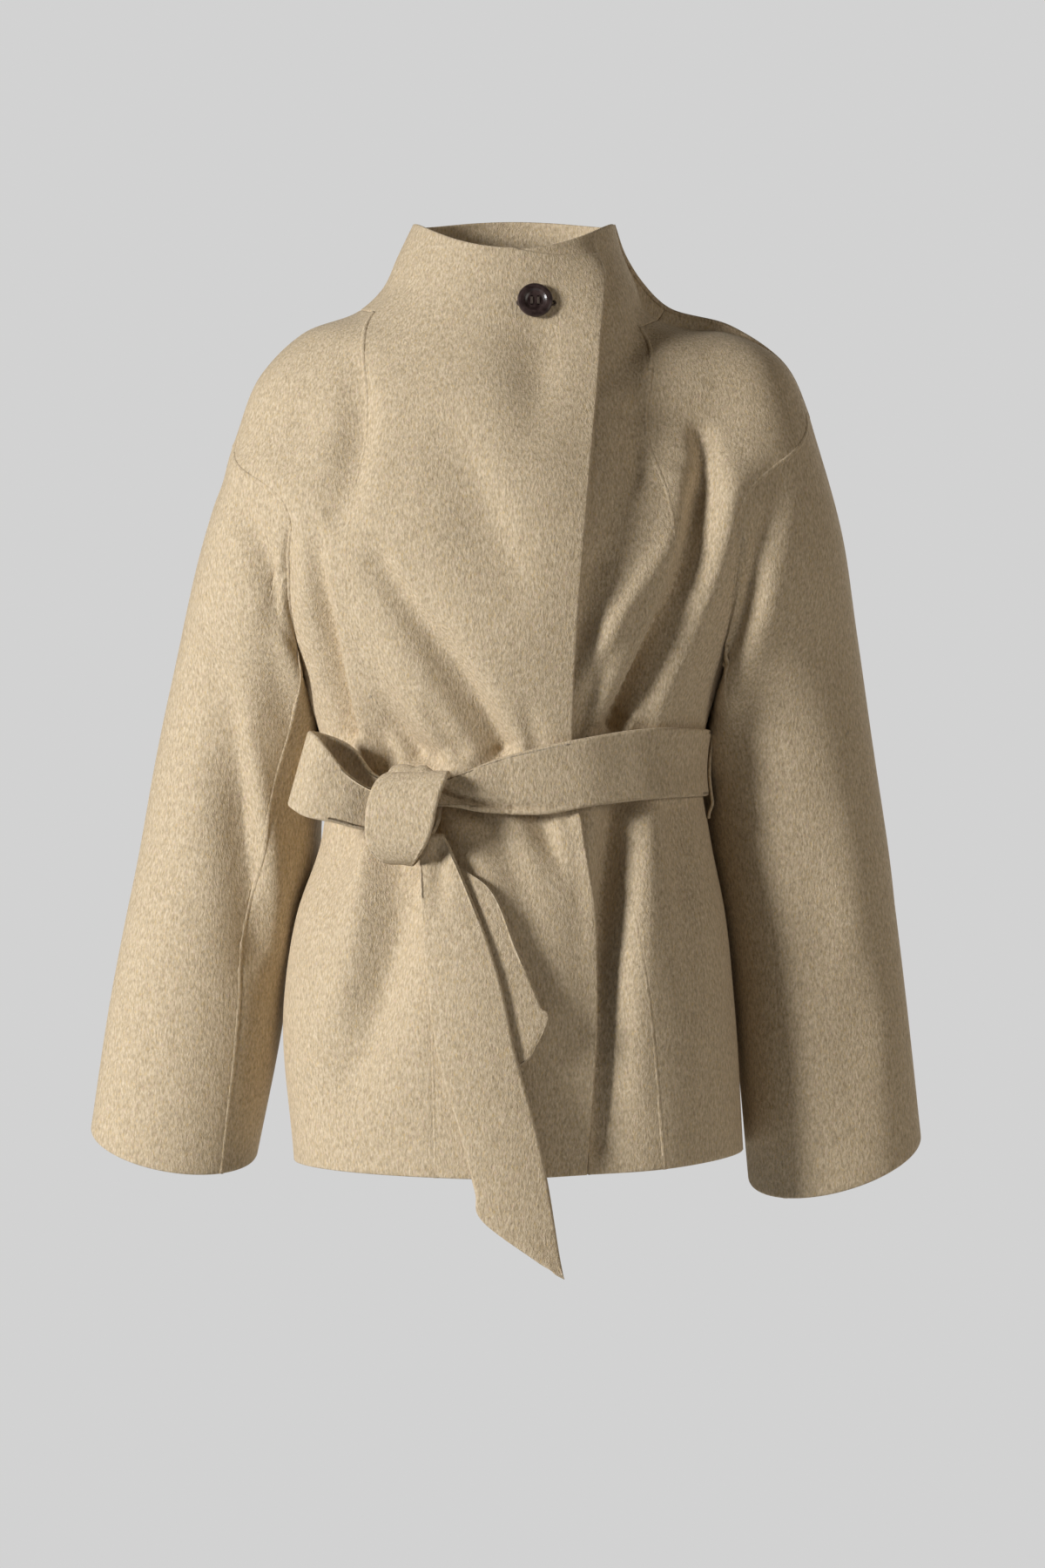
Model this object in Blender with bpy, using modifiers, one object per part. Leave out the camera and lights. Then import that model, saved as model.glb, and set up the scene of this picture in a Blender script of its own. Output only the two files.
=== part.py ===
"""A short belted wool coat with a funnel neck, in the shape it has when worn.

Metres, +Z up. The wearer faces -Y, so +X is the wearer's left. The origin is the
middle of the neck base, at the height where the collar meets the shoulders.
All sizes below are in millimetres; they become metres where an object is made.
"""

import math
from collections import namedtuple

import bmesh
import bpy
import numpy as np
from mathutils import Matrix, Vector

MM = 0.001

# Driving sizes
CLOTH = 2.4  # double-faced wool
SEAM_GAP = 0.3
SEAM_SHARE = 0.55  # of the gap, that each cut edge stands back outside
SEAM_INNER = 0.55  # further that it stands back on the inner face
FLAT_SEAM, SHARP_SEAM = 0.6, 0.0  # cosines of the angle between two walls at a seam
LAP_CLEAR = 1.4  # air between the two fronts where one lies on the other
LAP = CLOTH + LAP_CLEAR
RIM_DROP = 34.0  # how far the collar's lapped corner is cut below its sides

# Columns of the body's grid, from the outer front's edge round to the under front's edge
FRONT_COLUMNS = 12
LAPPED_COLUMNS = 8  # of the outer front, those that have the under front below them
SIDE_COLUMNS = 6
ARM_COLUMNS = 2  # each side of the side seam, over and under the armhole
BACK_COLUMNS = 16
SHOWN_COLUMNS = 9  # of the under front, outside the lap
LAP_END_COLUMN = 14  # where the outer front has come down to the body's own surface
WIDEST_SHARE = 0.995  # of the half width, the farthest that a column of the front lies out

# Belt
BELT_THICK = 4.4  # two layers of cloth
BELT_GAP = 0.8
BAND_COLUMNS = 64
BAND_ROWS = 3
KNOT_X, KNOT_Z = -71.0, -391.0
KNOT_HALF = (29.0, 13.0, 32.0)  # along the band, outwards, upwards
KNOT_LEAN = math.radians(-6)
KNOT_POWER = 3.0
KNOT_GAP = 1.2
KNOT_SEGMENTS = 28

# Carrier, the thin strap that keeps the belt at each side seam
CARRIER_WIDTH = 11.0
CARRIER_TOP, CARRIER_FOOT = -312.0, -398.0
CARRIER_RAMP = 13.0
CARRIER_GAP = 0.5
CARRIER_ROWS = 12

# Button
BUTTON_X, BUTTON_Z = 17.0, -5.0
BUTTON_RADIUS = 13.5
BUTTON_THICK = 4.2
BUTTON_HOLE_RADIUS = 1.25
BUTTON_HOLE_OFFSET = 2.5
BUTTON_GAP = 0.4
BUTTON_SEGMENTS = 40
BUTTON_HOLE_SEGMENTS = 12
BUTTON_PROFILE = (  # shares of the radius and of the thickness, from the face's middle to the back's
    (0, 0.55), (0.45, 0.55), (0.56, 0.72), (0.66, 0.98), (0.84, 1),
    (0.95, 0.9), (1, 0.6), (0.96, 0.2), (0.85, 0), (0, 0),
)

WOOL_COLOUR = (0.50, 0.385, 0.225, 1)
BUTTON_COLOUR = (0.035, 0.022, 0.02, 1)

# Sections of the body from hem to collar rim. right and left are half widths on the wearer's
# right and left, front and back are depths from the middle plane, square is the section's
# superellipse power, edge is the outer front's free edge, seam_right and seam_left are the
# princess seams, arm is the half angle of the armhole's strip, rows are those up to the next one.
Ring = namedtuple(
    "Ring",
    "name z_front z_right z_left z_back right left front back square edge seam_right seam_left arm rows",
)
RINGS = [
    Ring("hem", -667, -664, -656, -664, 170, 180, 126, 122, 2.05, 59, -57, 117, 14, 3),
    Ring("hip", -541, -541, -541, -541, 178, 173, 131, 122, 2.05, 68, -60, 106, 14, 2),
    Ring("high_hip", -473, -473, -473, -473, 168, 166, 126, 112, 2.05, 66, -62, 96, 14, 2),
    Ring("below_belt", -411, -411, -411, -411, 148, 154, 114, 100, 2.05, 54, -70, 88, 14, 2),
    Ring("waist", -357, -357, -357, -357, 145, 147, 107, 93, 2.05, 46, -86, 86, 14, 2),
    Ring("above_belt", -303, -303, -303, -303, 160, 158, 116, 98, 2.05, 46, -108, 104, 16, 2),
    Ring("underarm", -264, -266, -266, -262, 178, 176, 125, 103, 1.95, 48, -120, 116, 22, 3),
    Ring("bust", -208, -205, -200, -200, 214, 214, 127, 108, 1.95, 52, -126, 128, 36, 2),
    Ring("chest", -152, -150, -136, -140, 239, 247, 121, 110, 1.92, 57, -122, 122, 40, 3),
    Ring("shoulder", -110, -107, -84, -76, 218, 232, 110, 108, 2.05, 61, -114, 108, 10, 2),
    Ring("yoke", -80, -52, -39, -36, 196, 209, 102, 105, 2.10, 64, -112, 107, 11, 1),
    Ring("slope", -58, -20, -14, -10, 164, 171, 94, 98, 2.20, 66, -114, 110, 12, 2),
    Ring("neck", -28, -2, 1, 14, 119, 120, 86, 84, 2.30, 67, -106, 106, 12, 1),
    Ring("collar_low", -5, 17, 20, 36, 100, 101, 82, 76, 2.15, 68, -84, 92, 9, 1),
    Ring("collar_mid", 15, 41, 42, 57, 89, 88, 78, 70, 2.10, 67, -70, 84, 8, 1),
    Ring("rim", 38, 66, 66, 77, 77, 80, 74, 64, 2.05, 64, -56, 75, 8, 0),
]
SKIN_FIELDS = "z_front z_right z_left z_back right left front back square".split()

# Sections of a sleeve in front view, from the armhole to the cuff: the outer and the inner edge,
# the half depth, how far the middle lies behind the body's middle plane, how far the front hangs
# below the middle, and the angle of the seams from the outer edge.
Station = namedtuple("Station", "name outer_x outer_z inner_x inner_z half_depth middle_y dip seam")
RIGHT_SLEEVE = [
    Station("armhole", -218, -107, -178, -266, 78, 0, 0, 148),
    Station("cap", -244, -188, -164, -298, 80, 14, 0, 138),
    Station("upper_arm", -264, -266, -156, -338, 78, 41, 0, 126),
    Station("elbow", -283, -355, -151, -400, 72, 47, 0, 116),
    Station("forearm", -295, -425, -154, -442, 68, 42, 0, 115),
    Station("low_forearm", -306, -480, -172, -498, 64, 39, 2, 118),
    Station("wrist", -317, -540, -182, -565, 60, 34, 6, 122),
    Station("cuff", -332, -641, -201, -662, 54, 30, 20, 128),
]
LEFT_SLEEVE = [
    Station("armhole", 232, -84, 176, -266, 78, 0, 0, 148),
    Station("cap", 258, -172, 163, -300, 80, 16, 0, 138),
    Station("upper_arm", 272, -250, 155, -340, 78, 41, 0, 126),
    Station("elbow", 286, -345, 150, -402, 72, 46, 0, 116),
    Station("forearm", 297, -420, 157, -446, 68, 43, 0, 115),
    Station("low_forearm", 304, -478, 168, -502, 64, 39, 2, 118),
    Station("wrist", 311, -543, 176, -572, 60, 34, 6, 122),
    Station("cuff", 322, -648, 186, -682, 54, 30, 22, 128),
]
STATION_FIELDS = "outer_x outer_z inner_x inner_z half_depth middle_y dip".split()
SLEEVE_ROWS = 13
SLEEVE_FOLD_FROM = 0.12  # a sleeve's folds have their full depth from this share on
LOOP_FADE = 0.4  # share of the sleeve over which the armhole's own shape fades out

# Folds, by their place in front view. depth is at the path's start, middle and end, outwards
# if positive; minus_x and plus_x are the half widths on the path's two sides.
Fold = namedtuple("Fold", "name where path depth minus_x plus_x")
FOLDS = [
    Fold("seam hollow", "right", ((-120, -55), (-117, -105), (-128, -165)), (-4, -11, -5), 18, 12),
    Fold("side pleat", "right", ((-134, -180), (-128, -250), (-114, -330)), (-3, -11, -12), 9, 16),
    Fold("bust pleat", "right", ((-92, -205), (-52, -270), (-12, -345)), (-4, -10, -14), 18, 14),
    Fold("breast hollow", "right", ((-40, -115), (-16, -174), (2, -222)), (-3, -7, -2), 26, 15),
    Fold("button hollow", "right", ((20, -30), (20, -65), (14, -110)), (-3, -5, -2), 20, 16),
    Fold("knot pleat", "right", ((-112, -270), (-88, -322), (-62, -352)), (-2, -8, -13), 12, 12),
    Fold("edge hollow", "left", ((96, -35), (100, -115), (76, -205)), (-10, -16, -10), 26, 46),
    Fold("deep pleat", "left", ((134, -118), (134, -215), (84, -335)), (-6, -19, -17), 10, 13),
    Fold("edge pleat", "left", ((64, -205), (54, -255), (46, -300)), (-5, -12, -6), 11, 14),
    Fold("low pleat", "left", ((72, -268), (60, -305), (50, -345)), (-2, -6, -9), 9, 9),
    Fold("hip hollow", "right", ((-92, -385), (-90, -480), (-116, -590)), (-12, -13, -4), 17, 22),
    Fold("side crease", "right", ((-122, -395), (-134, -430), (-148, -465)), (-9, -6, -2), 8, 10),
    Fold("tail hollow", "right", ((-30, -385), (4, -440), (20, -520)), (-10, -6, -2), 14, 18),
    Fold("edge fall", "right", ((20, -400), (38, -500), (32, -650)), (-8, -12, -10), 30, 20),
    Fold("edge groove", "left", ((84, -385), (78, -450), (66, -640)), (-20, -22, -9), 12, 17),
    Fold("back gather 1", "back", ((-84, -345), (-92, -290), (-108, -215)), (-9, -6, -2), 14, 14),
    Fold("back gather 2", "back", ((-26, -345), (-30, -280), (-38, -190)), (-10, -7, -2), 14, 14),
    Fold("back gather 3", "back", ((32, -345), (38, -285), (50, -205)), (-9, -6, -2), 14, 14),
    Fold("back gather 4", "back", ((86, -345), (96, -295), (112, -225)), (-8, -6, -2), 14, 14),
    Fold("back skirt 1", "back", ((-70, -365), (-80, -440), (-96, -560)), (-10, -7, -2), 15, 15),
    Fold("back skirt 2", "back", ((-6, -365), (-4, -450), (2, -590)), (-11, -8, -3), 16, 16),
    Fold("back skirt 3", "back", ((64, -365), (76, -440), (92, -550)), (-10, -7, -2), 15, 15),
    Fold("right arm crease", "right_sleeve", ((-190, -205), (-184, -250), (-174, -305)), (-1, -8, -4), 19, 21),
    Fold("right arm hollow", "right_sleeve", ((-226, -290), (-206, -400), (-200, -500)), (-5, -13, -5), 24, 11),
    Fold("left arm crease", "left_sleeve", ((200, -170), (190, -235), (174, -310)), (-1, -14, -10), 12, 18),
    Fold("left arm hollow", "left_sleeve", ((232, -400), (240, -480), (246, -570)), (-2, -5, -2), 24, 24),
]
PATH_SAMPLES = 32
FACING = (-0.3, 0.1)  # a fold fades out between these shares of the cloth's facing forwards
UNDER_DEEPER = 1.8  # the under front gives way this much more to a fold pressed into the outer front

# The belt's band, by the angle round the body from one side of the knot to the other
BandStop = namedtuple("BandStop", "turn middle_z half")
BAND = [
    BandStop(-19.4, -381, 9),
    BandStop(-6, -372, 19),
    BandStop(8, -367, 25.5),
    BandStop(35, -357, 27.5),
    BandStop(90, -354, 26),
    BandStop(180, -350, 26),
    BandStop(270, -356, 26),
    BandStop(298, -372, 20),
    BandStop(313.2, -384, 12),
]
BAND_BACK = (90, 270)  # the turns between which the band lies behind the side seams
BAND_REST = 40.0  # over this length past the outer front's edge the band comes down on the under front
LAP_FROM_X = -88.0  # where the outer front starts to stand off

# The bow's single loop, as the two ends of the strip's width at each stop along it
LoopStop = namedtuple("LoopStop", "name low_x low_y low_z high_x high_y high_z")
LOOP = [
    LoopStop("front at knot", -105.1, -113, -406, -105.1, -111, -374),
    LoopStop("front middle", -134, -116, -400, -126, -113, -352),
    LoopStop("front end", -158, -108, -394, -145, -108, -335),
    LoopStop("turn", -166, -97, -388, -150, -98, -331),
    LoopStop("back end", -158, -87, -388, -144, -89, -332),
    LoopStop("back middle", -132, -88, -394, -122, -91, -342),
    LoopStop("back at knot", -105.6, -95, -396, -105.6, -99, -362),
]
LOOP_ROWS = 22

# The two tails, by their edges in front view from the knot down, with how far each stands off
TailStop = namedtuple("TailStop", "left_x left_z right_x right_z lift")
LONG_TAIL = [
    TailStop(-66, -424, -44, -424, 9.0),
    TailStop(-65, -468, -25, -468, 7.0),
    TailStop(-62, -520, -9, -515, 6.9),
    TailStop(-56, -575, 3, -570, 6.9),
    TailStop(-40, -630, 17, -622, 6.0),
    TailStop(-28, -676, 28, -672, 5.4),
    TailStop(-22, -698, 36, -722, 5.4),
    TailStop(22, -730, 40, -741, 5.4),
]
SHORT_TAIL = [
    TailStop(-56, -424, -46, -424, 1.6),
    TailStop(-40, -455, -16, -448, 0.8),
    TailStop(-34, -500, 4, -492, 0.4),
    TailStop(-28, -540, 22, -536, 0.4),
    TailStop(-6, -578, 27, -550, 0.4),
    TailStop(6, -582, 14, -576, 0.4),
]
TAIL_ROWS = 18
TAIL_COLUMNS = 4
TAIL_BOW = 1.5

COLLECTION = "belted_coat"
CUTTERS = "cutters"
GROUPS = ("front_right side_front back front_left".split(), ["sleeve_right"], ["sleeve_left"])
BODY_PIECES = "front_right side_front_right back side_front_left front_left".split()


def smooth_curve(knots, values, at):
    """A cubic through the values at the knots, read at other places."""
    knots, values = np.asarray(knots, float), np.asarray(values, float)
    slopes = np.gradient(values, knots)
    span = np.clip(np.searchsorted(knots, at, side="right") - 1, 0, len(knots) - 2)
    step = knots[span + 1] - knots[span]
    u = (np.asarray(at, float) - knots[span]) / step
    rise = u * u * (3 - 2 * u)
    bend = u * (1 - u) * ((1 - u) * slopes[span] - u * slopes[span + 1])
    return values[span] * (1 - rise) + values[span + 1] * rise + step * bend


def smooth_step(low, high, value):
    share = np.clip((value - low) / (high - low), 0, 1)
    return share * share * (3 - 2 * share)


def along(points):
    """The running length at each of a row of points."""
    steps = np.linalg.norm(np.diff(np.asarray(points, float), axis=0), axis=1)
    return np.concatenate([[0], np.cumsum(steps)])


RING_RUN = along([(r.z_right, r.right, r.z_front, r.front) for r in RINGS])
RUN_OF = {r.name: run for r, run in zip(RINGS, RING_RUN)}
RUN_STEP, TURN_STEP = 0.1, 0.001  # steps along the surface, mm and radians, that its normal is read over


def ring_value(field, run):
    return smooth_curve(RING_RUN, [getattr(r, field) for r in RINGS], run)


def skin(run, angle):
    """The body's outer surface before folds. angle is from the front's middle, to the wearer's left."""
    level = {field: ring_value(field, run) for field in SKIN_FIELDS}
    side, ahead = np.sin(angle), np.cos(angle)
    power = 2 / level["square"]
    half = np.where(side < 0, level["right"], level["left"])
    depth = np.where(ahead > 0, level["front"], level["back"])
    side_z = np.where(side < 0, level["z_right"], level["z_left"])
    middle_z = np.where(ahead > 0, level["z_front"], level["z_back"])
    x = half * np.sign(side) * np.abs(side) ** power
    y = -depth * np.sign(ahead) * np.abs(ahead) ** power
    return np.stack([x, y, middle_z + (side_z - middle_z) * side**2], axis=-1)


def angle_at(run, x):
    """The angle on the front where the surface has this x."""
    half = np.where(x < 0, ring_value("right", run), ring_value("left", run))
    share = np.clip(np.abs(x) / half, 0, WIDEST_SHARE)
    return np.sign(x) * np.arcsin(share ** (ring_value("square", run) / 2))


def run_at(z):
    """The run of the section whose front is at this height."""
    return np.interp(z, [r.z_front for r in RINGS], RING_RUN)


def row_runs():
    """The runs of the grid's rows, and the row that each ring lies on."""
    runs, row_of = [], {}
    for k, ring in enumerate(RINGS):
        row_of[ring.name] = len(runs)
        stop = RING_RUN[min(k + 1, len(RINGS) - 1)]
        runs += list(np.linspace(RING_RUN[k], stop, max(ring.rows, 1), endpoint=False))
    return np.array(runs), row_of


def spread(first, last, count):
    """Columns in count steps from first to last, without the last."""
    return first[:, None] + (last - first)[:, None] * np.arange(count) / count


def body_grid(runs):
    """The run, the angle and the lap outwards of each grid point, in rows and columns."""
    edge, seam_right, seam_left = (ring_value(f, runs) for f in ("edge", "seam_right", "seam_left"))
    arm = np.radians(ring_value("arm", runs))
    right_side = np.full_like(runs, -math.pi / 2)
    left_side = 3 * right_side
    outer_x = spread(edge, seam_right, FRONT_COLUMNS)
    under_x = outer_x[:, : LAPPED_COLUMNS + 1]
    front_x = np.concatenate([outer_x, spread(seam_left, edge, SHOWN_COLUMNS), under_x], axis=1)
    front_run = np.repeat(runs[:, None], front_x.shape[1], axis=1)
    outer_past = front_x[:, :FRONT_COLUMNS] / ring_value("left", runs)[:, None]
    under_past = -front_x[:, FRONT_COLUMNS:] / ring_value("right", runs)[:, None]
    past = np.clip(np.concatenate([outer_past, under_past], axis=1), 0, 1)
    collar = np.clip((runs - RUN_OF["neck"]) / (RUN_OF["rim"] - RUN_OF["neck"]), 0, 1)
    front_run -= RIM_DROP * collar[:, None] * past
    front = angle_at(front_run, front_x)
    seams = angle_at(runs, seam_right), angle_at(runs, seam_left) - 2 * math.pi
    sides = [
        spread(seams[0], right_side + arm, SIDE_COLUMNS),
        spread(right_side + arm, right_side, ARM_COLUMNS),
        spread(right_side, right_side - arm, ARM_COLUMNS),
        spread(right_side - arm, left_side + arm, BACK_COLUMNS),
        spread(left_side + arm, left_side, ARM_COLUMNS),
        spread(left_side, left_side - arm, ARM_COLUMNS),
        spread(left_side - arm, seams[1], SIDE_COLUMNS),
    ]
    angle = np.concatenate([front[:, :FRONT_COLUMNS], *sides, front[:, FRONT_COLUMNS:]], axis=1)
    run = np.repeat(runs[:, None], angle.shape[1], axis=1)
    run[:, :FRONT_COLUMNS] = front_run[:, :FRONT_COLUMNS]
    run[:, FRONT_COLUMNS - front.shape[1] :] = front_run[:, FRONT_COLUMNS:]
    column = np.arange(angle.shape[1])
    lap = LAP * (1 - smooth_step(LAPPED_COLUMNS, LAP_END_COLUMN, column))
    return run, angle, np.repeat(lap[None], len(runs), axis=0)


def unit(vectors):
    return vectors / np.maximum(np.linalg.norm(vectors, axis=-1, keepdims=True), 1e-9)


def vertex_normals(points, quads):
    a, b, c, d = (points[quads[:, k]] for k in range(4))
    face = np.cross(c - a, d - b)
    total = np.zeros_like(points)
    for k in range(4):
        np.add.at(total, quads[:, k], face)
    return unit(total)


def grid_quads(index):
    """Quads of a grid of point numbers, rows by columns."""
    return np.stack([index[:-1, :-1], index[1:, :-1], index[1:, 1:], index[:-1, 1:]], axis=-1)


def fold_shift(points, normals, where):
    """How far the folds of these places move the points outwards."""
    shift = np.zeros(len(points))
    u = np.linspace(0, 1, PATH_SAMPLES)
    mix = np.stack([2 * (u - 0.5) * (u - 1), -4 * u * (u - 1), 2 * u * (u - 0.5)], axis=1)
    for fold in FOLDS:
        if fold.where not in where:
            continue
        path = mix @ np.array(fold.path, float)
        off = points[:, None, (0, 2)] - path[None]
        distance = np.linalg.norm(off, axis=2)
        near = distance.argmin(axis=1)
        pick = np.arange(len(points))
        width = np.where(off[pick, near, 0] < 0, fold.minus_x, fold.plus_x)
        depth = np.interp(u, (0, 0.5, 1), fold.depth)[near]
        shift += depth * np.exp(-((distance[pick, near] / width) ** 2))
    ahead = -normals[:, 1] if "back" not in where else normals[:, 1]
    return shift * smooth_step(*FACING, ahead)


def armhole_loop(index, rows, side, turn):
    """Point numbers round an armhole from its top, down the front, under the arm and up the back."""
    top, low = rows["shoulder"], rows["underarm"]
    front, back = side - turn * ARM_COLUMNS, side + turn * ARM_COLUMNS
    loop = [index[top, side - turn * k] for k in range(ARM_COLUMNS)]
    loop += [index[row, front] for row in range(top, low, -1)]
    loop += [index[low, front + turn * k] for k in range(2 * ARM_COLUMNS)]
    loop += [index[row, back] for row in range(low, top)]
    loop += [index[top, back - turn * k] for k in range(ARM_COLUMNS)]
    return np.array(loop)


def sleeve_rings(loop, stations):
    """Rings of points from the armhole's loop to the cuff, the loop itself left out, and each ring's share."""
    half = len(loop) // 2
    seam_at = half - ARM_COLUMNS
    closed = np.append(np.arange(len(loop)), 0)
    length = along(loop[closed])
    start = np.concatenate([
        math.pi * length[:half] / length[half],
        math.pi + math.pi * (length[half:-1] - length[half]) / (length[-1] - length[half]),
    ])
    middles = [((s.outer_x + s.inner_x) / 2, (s.outer_z + s.inner_z) / 2) for s in stations]
    knots = along(middles)
    shares = np.linspace(0, 1, SLEEVE_ROWS + 1)

    def ring(share, turn):
        at = share * knots[-1]
        value = {f: smooth_curve(knots, [getattr(s, f) for s in stations], at) for f in STATION_FIELDS}
        outer = np.array([value["outer_x"], value["middle_y"], value["outer_z"]])
        inner = np.array([value["inner_x"], value["middle_y"], value["inner_z"]])
        middle = (outer + inner) / 2
        points = middle + np.cos(turn)[:, None] * (outer - middle)
        points[:, 1] -= value["half_depth"] * np.sin(turn)
        points[:, 2] -= value["dip"] * np.sin(turn)
        return points

    def turns(share):
        seam = math.radians(smooth_curve(knots, [s.seam for s in stations], share * knots[-1]))
        known = [0, start[seam_at], math.pi, start[len(loop) - seam_at], 2 * math.pi]
        wanted = [0, seam, math.pi, 2 * math.pi - seam, 2 * math.pi]
        return np.interp(start, known, wanted)

    spare = loop - ring(0.0, start)
    rings = [ring(s, turns(s)) + spare * max(0, 1 - s / LOOP_FADE) ** 2 for s in shares[1:]]
    return np.array(rings), shares[1:], seam_at


def armhole_angle(body, sleeve):
    """Where body and sleeve meet at a sharp angle, 1; where their seam lies flat, or elsewhere, 0."""
    both = (np.abs(body).sum(axis=1) > 0) & (np.abs(sleeve).sum(axis=1) > 0)
    sharp = smooth_step(FLAT_SEAM, SHARP_SEAM, (body * sleeve).sum(axis=1))
    return np.where(both, sharp, 0)[:, None]


def coat_surface():
    """The coat's outer surface with its folds, and the normals and quads of each cut piece."""
    runs, rows = row_runs()
    run, angle, lap = body_grid(runs)
    points = skin(run, angle).reshape(-1, 3)
    index = np.arange(len(points)).reshape(angle.shape)
    quads = grid_quads(index)
    right_seam = FRONT_COLUMNS
    right_side = right_seam + SIDE_COLUMNS + ARM_COLUMNS
    left_side = right_side + 2 * ARM_COLUMNS + BACK_COLUMNS
    left_seam = left_side + ARM_COLUMNS + SIDE_COLUMNS
    piece = np.empty(quads.shape[:2], object)
    piece[:, :right_seam] = "front_right"
    piece[:, right_seam:right_side] = "side_front_right"
    piece[:, right_side:left_side] = "back"
    piece[:, left_side:left_seam] = "side_front_left"
    piece[:, left_seam:] = "front_left"
    piece[rows["neck"] :, right_seam:right_side] = "front_right"
    piece[rows["neck"] :, left_side:left_seam] = "front_left"
    for side in (right_side, left_side):
        piece[rows["underarm"] : rows["shoulder"], side - ARM_COLUMNS : side + ARM_COLUMNS] = ""
    pieces = {name: quads[piece == name] for name in BODY_PIECES}

    column = np.broadcast_to(np.arange(angle.shape[1]), angle.shape).reshape(-1)
    places = [
        (column <= right_side, ("right",), 1),
        (column > left_side, ("left",), 1),
        (column > angle.shape[1] - LAPPED_COLUMNS - 2, ("right",), UNDER_DEEPER),
        ((column > right_side) & (column <= left_side), ("back",), 1),
    ]
    fade = np.ones(len(points))
    lap = lap.reshape(-1)
    for name, stations, side, turn in (
        ("right", RIGHT_SLEEVE, right_side, 1),
        ("left", LEFT_SLEEVE, left_side, -1),
    ):
        loop = armhole_loop(index, rows, side, turn)
        rings, shares, seam_at = sleeve_rings(points[loop], stations)
        first = len(points)
        numbers = np.arange(rings.shape[0] * rings.shape[1]).reshape(rings.shape[:2]) + first
        ring_index = np.concatenate([loop[None], numbers])
        ring_index = np.append(ring_index, ring_index[:, :1], axis=1)
        sleeve_quads = grid_quads(ring_index if turn > 0 else ring_index[:, ::-1])
        place = np.arange(len(loop))
        under = (place >= seam_at) & (place < len(loop) - seam_at)
        under = under if turn > 0 else under[::-1]
        pieces[f"sleeve_{name}_top"] = sleeve_quads[:, ~under].reshape(-1, 4)
        pieces[f"sleeve_{name}_under"] = sleeve_quads[:, under].reshape(-1, 4)
        points = np.concatenate([points, rings.reshape(-1, 3)])
        lap = np.append(lap, np.zeros(rings.size // 3))
        fade = np.append(fade, np.repeat(smooth_step(0, SLEEVE_FOLD_FROM, shares), len(loop)))
        places.append((np.arange(len(points)) >= first, (f"{name}_sleeve",), 1))

    every = np.concatenate(list(pieces.values()))
    normals = vertex_normals(points, every)
    shift = lap
    for part, where, share in places:
        mask = np.append(part, np.zeros(len(points) - len(part), bool))
        shift[mask] += share * fade[mask] * fold_shift(points[mask], normals[mask], where)
    points = points + normals * shift[:, None]
    normals = vertex_normals(points, every)
    groups = [[name for name in pieces if name.startswith(tuple(group))] for group in GROUPS]
    own = [vertex_normals(points, np.concatenate([pieces[name] for name in group])) for group in groups]
    apart = [armhole_angle(own[0], other) for other in own[1:]]
    walls = {}
    for group, group_normals, share in zip(groups, own, [sum(apart), *apart]):
        mixed = unit(normals * (1 - share) + group_normals * share)
        walls.update({name: (mixed, pieces[name]) for name in group})
    return points, walls


def cut_edges(quads):
    """The sides of the quads that have no neighbour, in the quads' own direction."""
    sides = np.stack([quads, np.roll(quads, -1, axis=1)], axis=-1).reshape(-1, 2)
    present = set(map(tuple, sides))
    return np.array([s for s in map(tuple, sides) if s[::-1] not in present])


def into_piece(points, quads):
    """From each point, the direction to the middle of the quads round it."""
    towards = np.zeros_like(points)
    middles = points[quads].mean(axis=1)
    for k in range(4):
        np.add.at(towards, quads[:, k], middles - points[quads[:, k]])
    return unit(towards)


def wall(name, points, normals, quads, thick):
    """A closed wall: this piece of the outer surface, its inner face and the cut edges between."""
    used, local = np.unique(quads, return_inverse=True)
    quads = local.reshape(quads.shape)
    points, normals = points[used].copy(), normals[used]
    cut = cut_edges(quads)
    rim = np.unique(cut)
    own = vertex_normals(points, quads)[rim]
    inward = into_piece(points, quads)[rim]
    inward = unit(inward - (inward * own).sum(axis=1, keepdims=True) * own)
    points[rim] += inward * SEAM_GAP * SEAM_SHARE
    count = len(points)
    edge = np.stack([cut[:, 1], cut[:, 0], cut[:, 0] + count, cut[:, 1] + count], axis=1)
    faces = np.concatenate([quads, quads[:, ::-1] + count, edge])
    inside = points - normals * thick
    inside[rim] += inward * SEAM_INNER
    return make_object(name, np.concatenate([points, inside]), faces, "wool")


def make_object(name, points, faces, slot):
    mesh = bpy.data.meshes.new(name)
    mesh.from_pydata((np.asarray(points) * MM).tolist(), [], [list(map(int, f)) for f in faces])
    mesh.materials.append(bpy.data.materials[slot])
    mesh.update()
    obj = bpy.data.objects.new(name, mesh)
    bpy.data.collections[COLLECTION].objects.link(obj)
    return obj


def strip(name, points, thick):
    """A wall from a grid of outer points, rows by columns."""
    index = np.arange(points.shape[0] * points.shape[1]).reshape(points.shape[:2])
    quads = grid_quads(index).reshape(-1, 4)
    flat = points.reshape(-1, 3)
    return wall(name, flat, vertex_normals(flat, quads), quads, thick)


def skin_normal(run, angle):
    up = skin(run + RUN_STEP, angle) - skin(run - RUN_STEP, angle)
    across = skin(run, angle + TURN_STEP) - skin(run, angle - TURN_STEP)
    return unit(np.cross(across, up))


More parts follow.
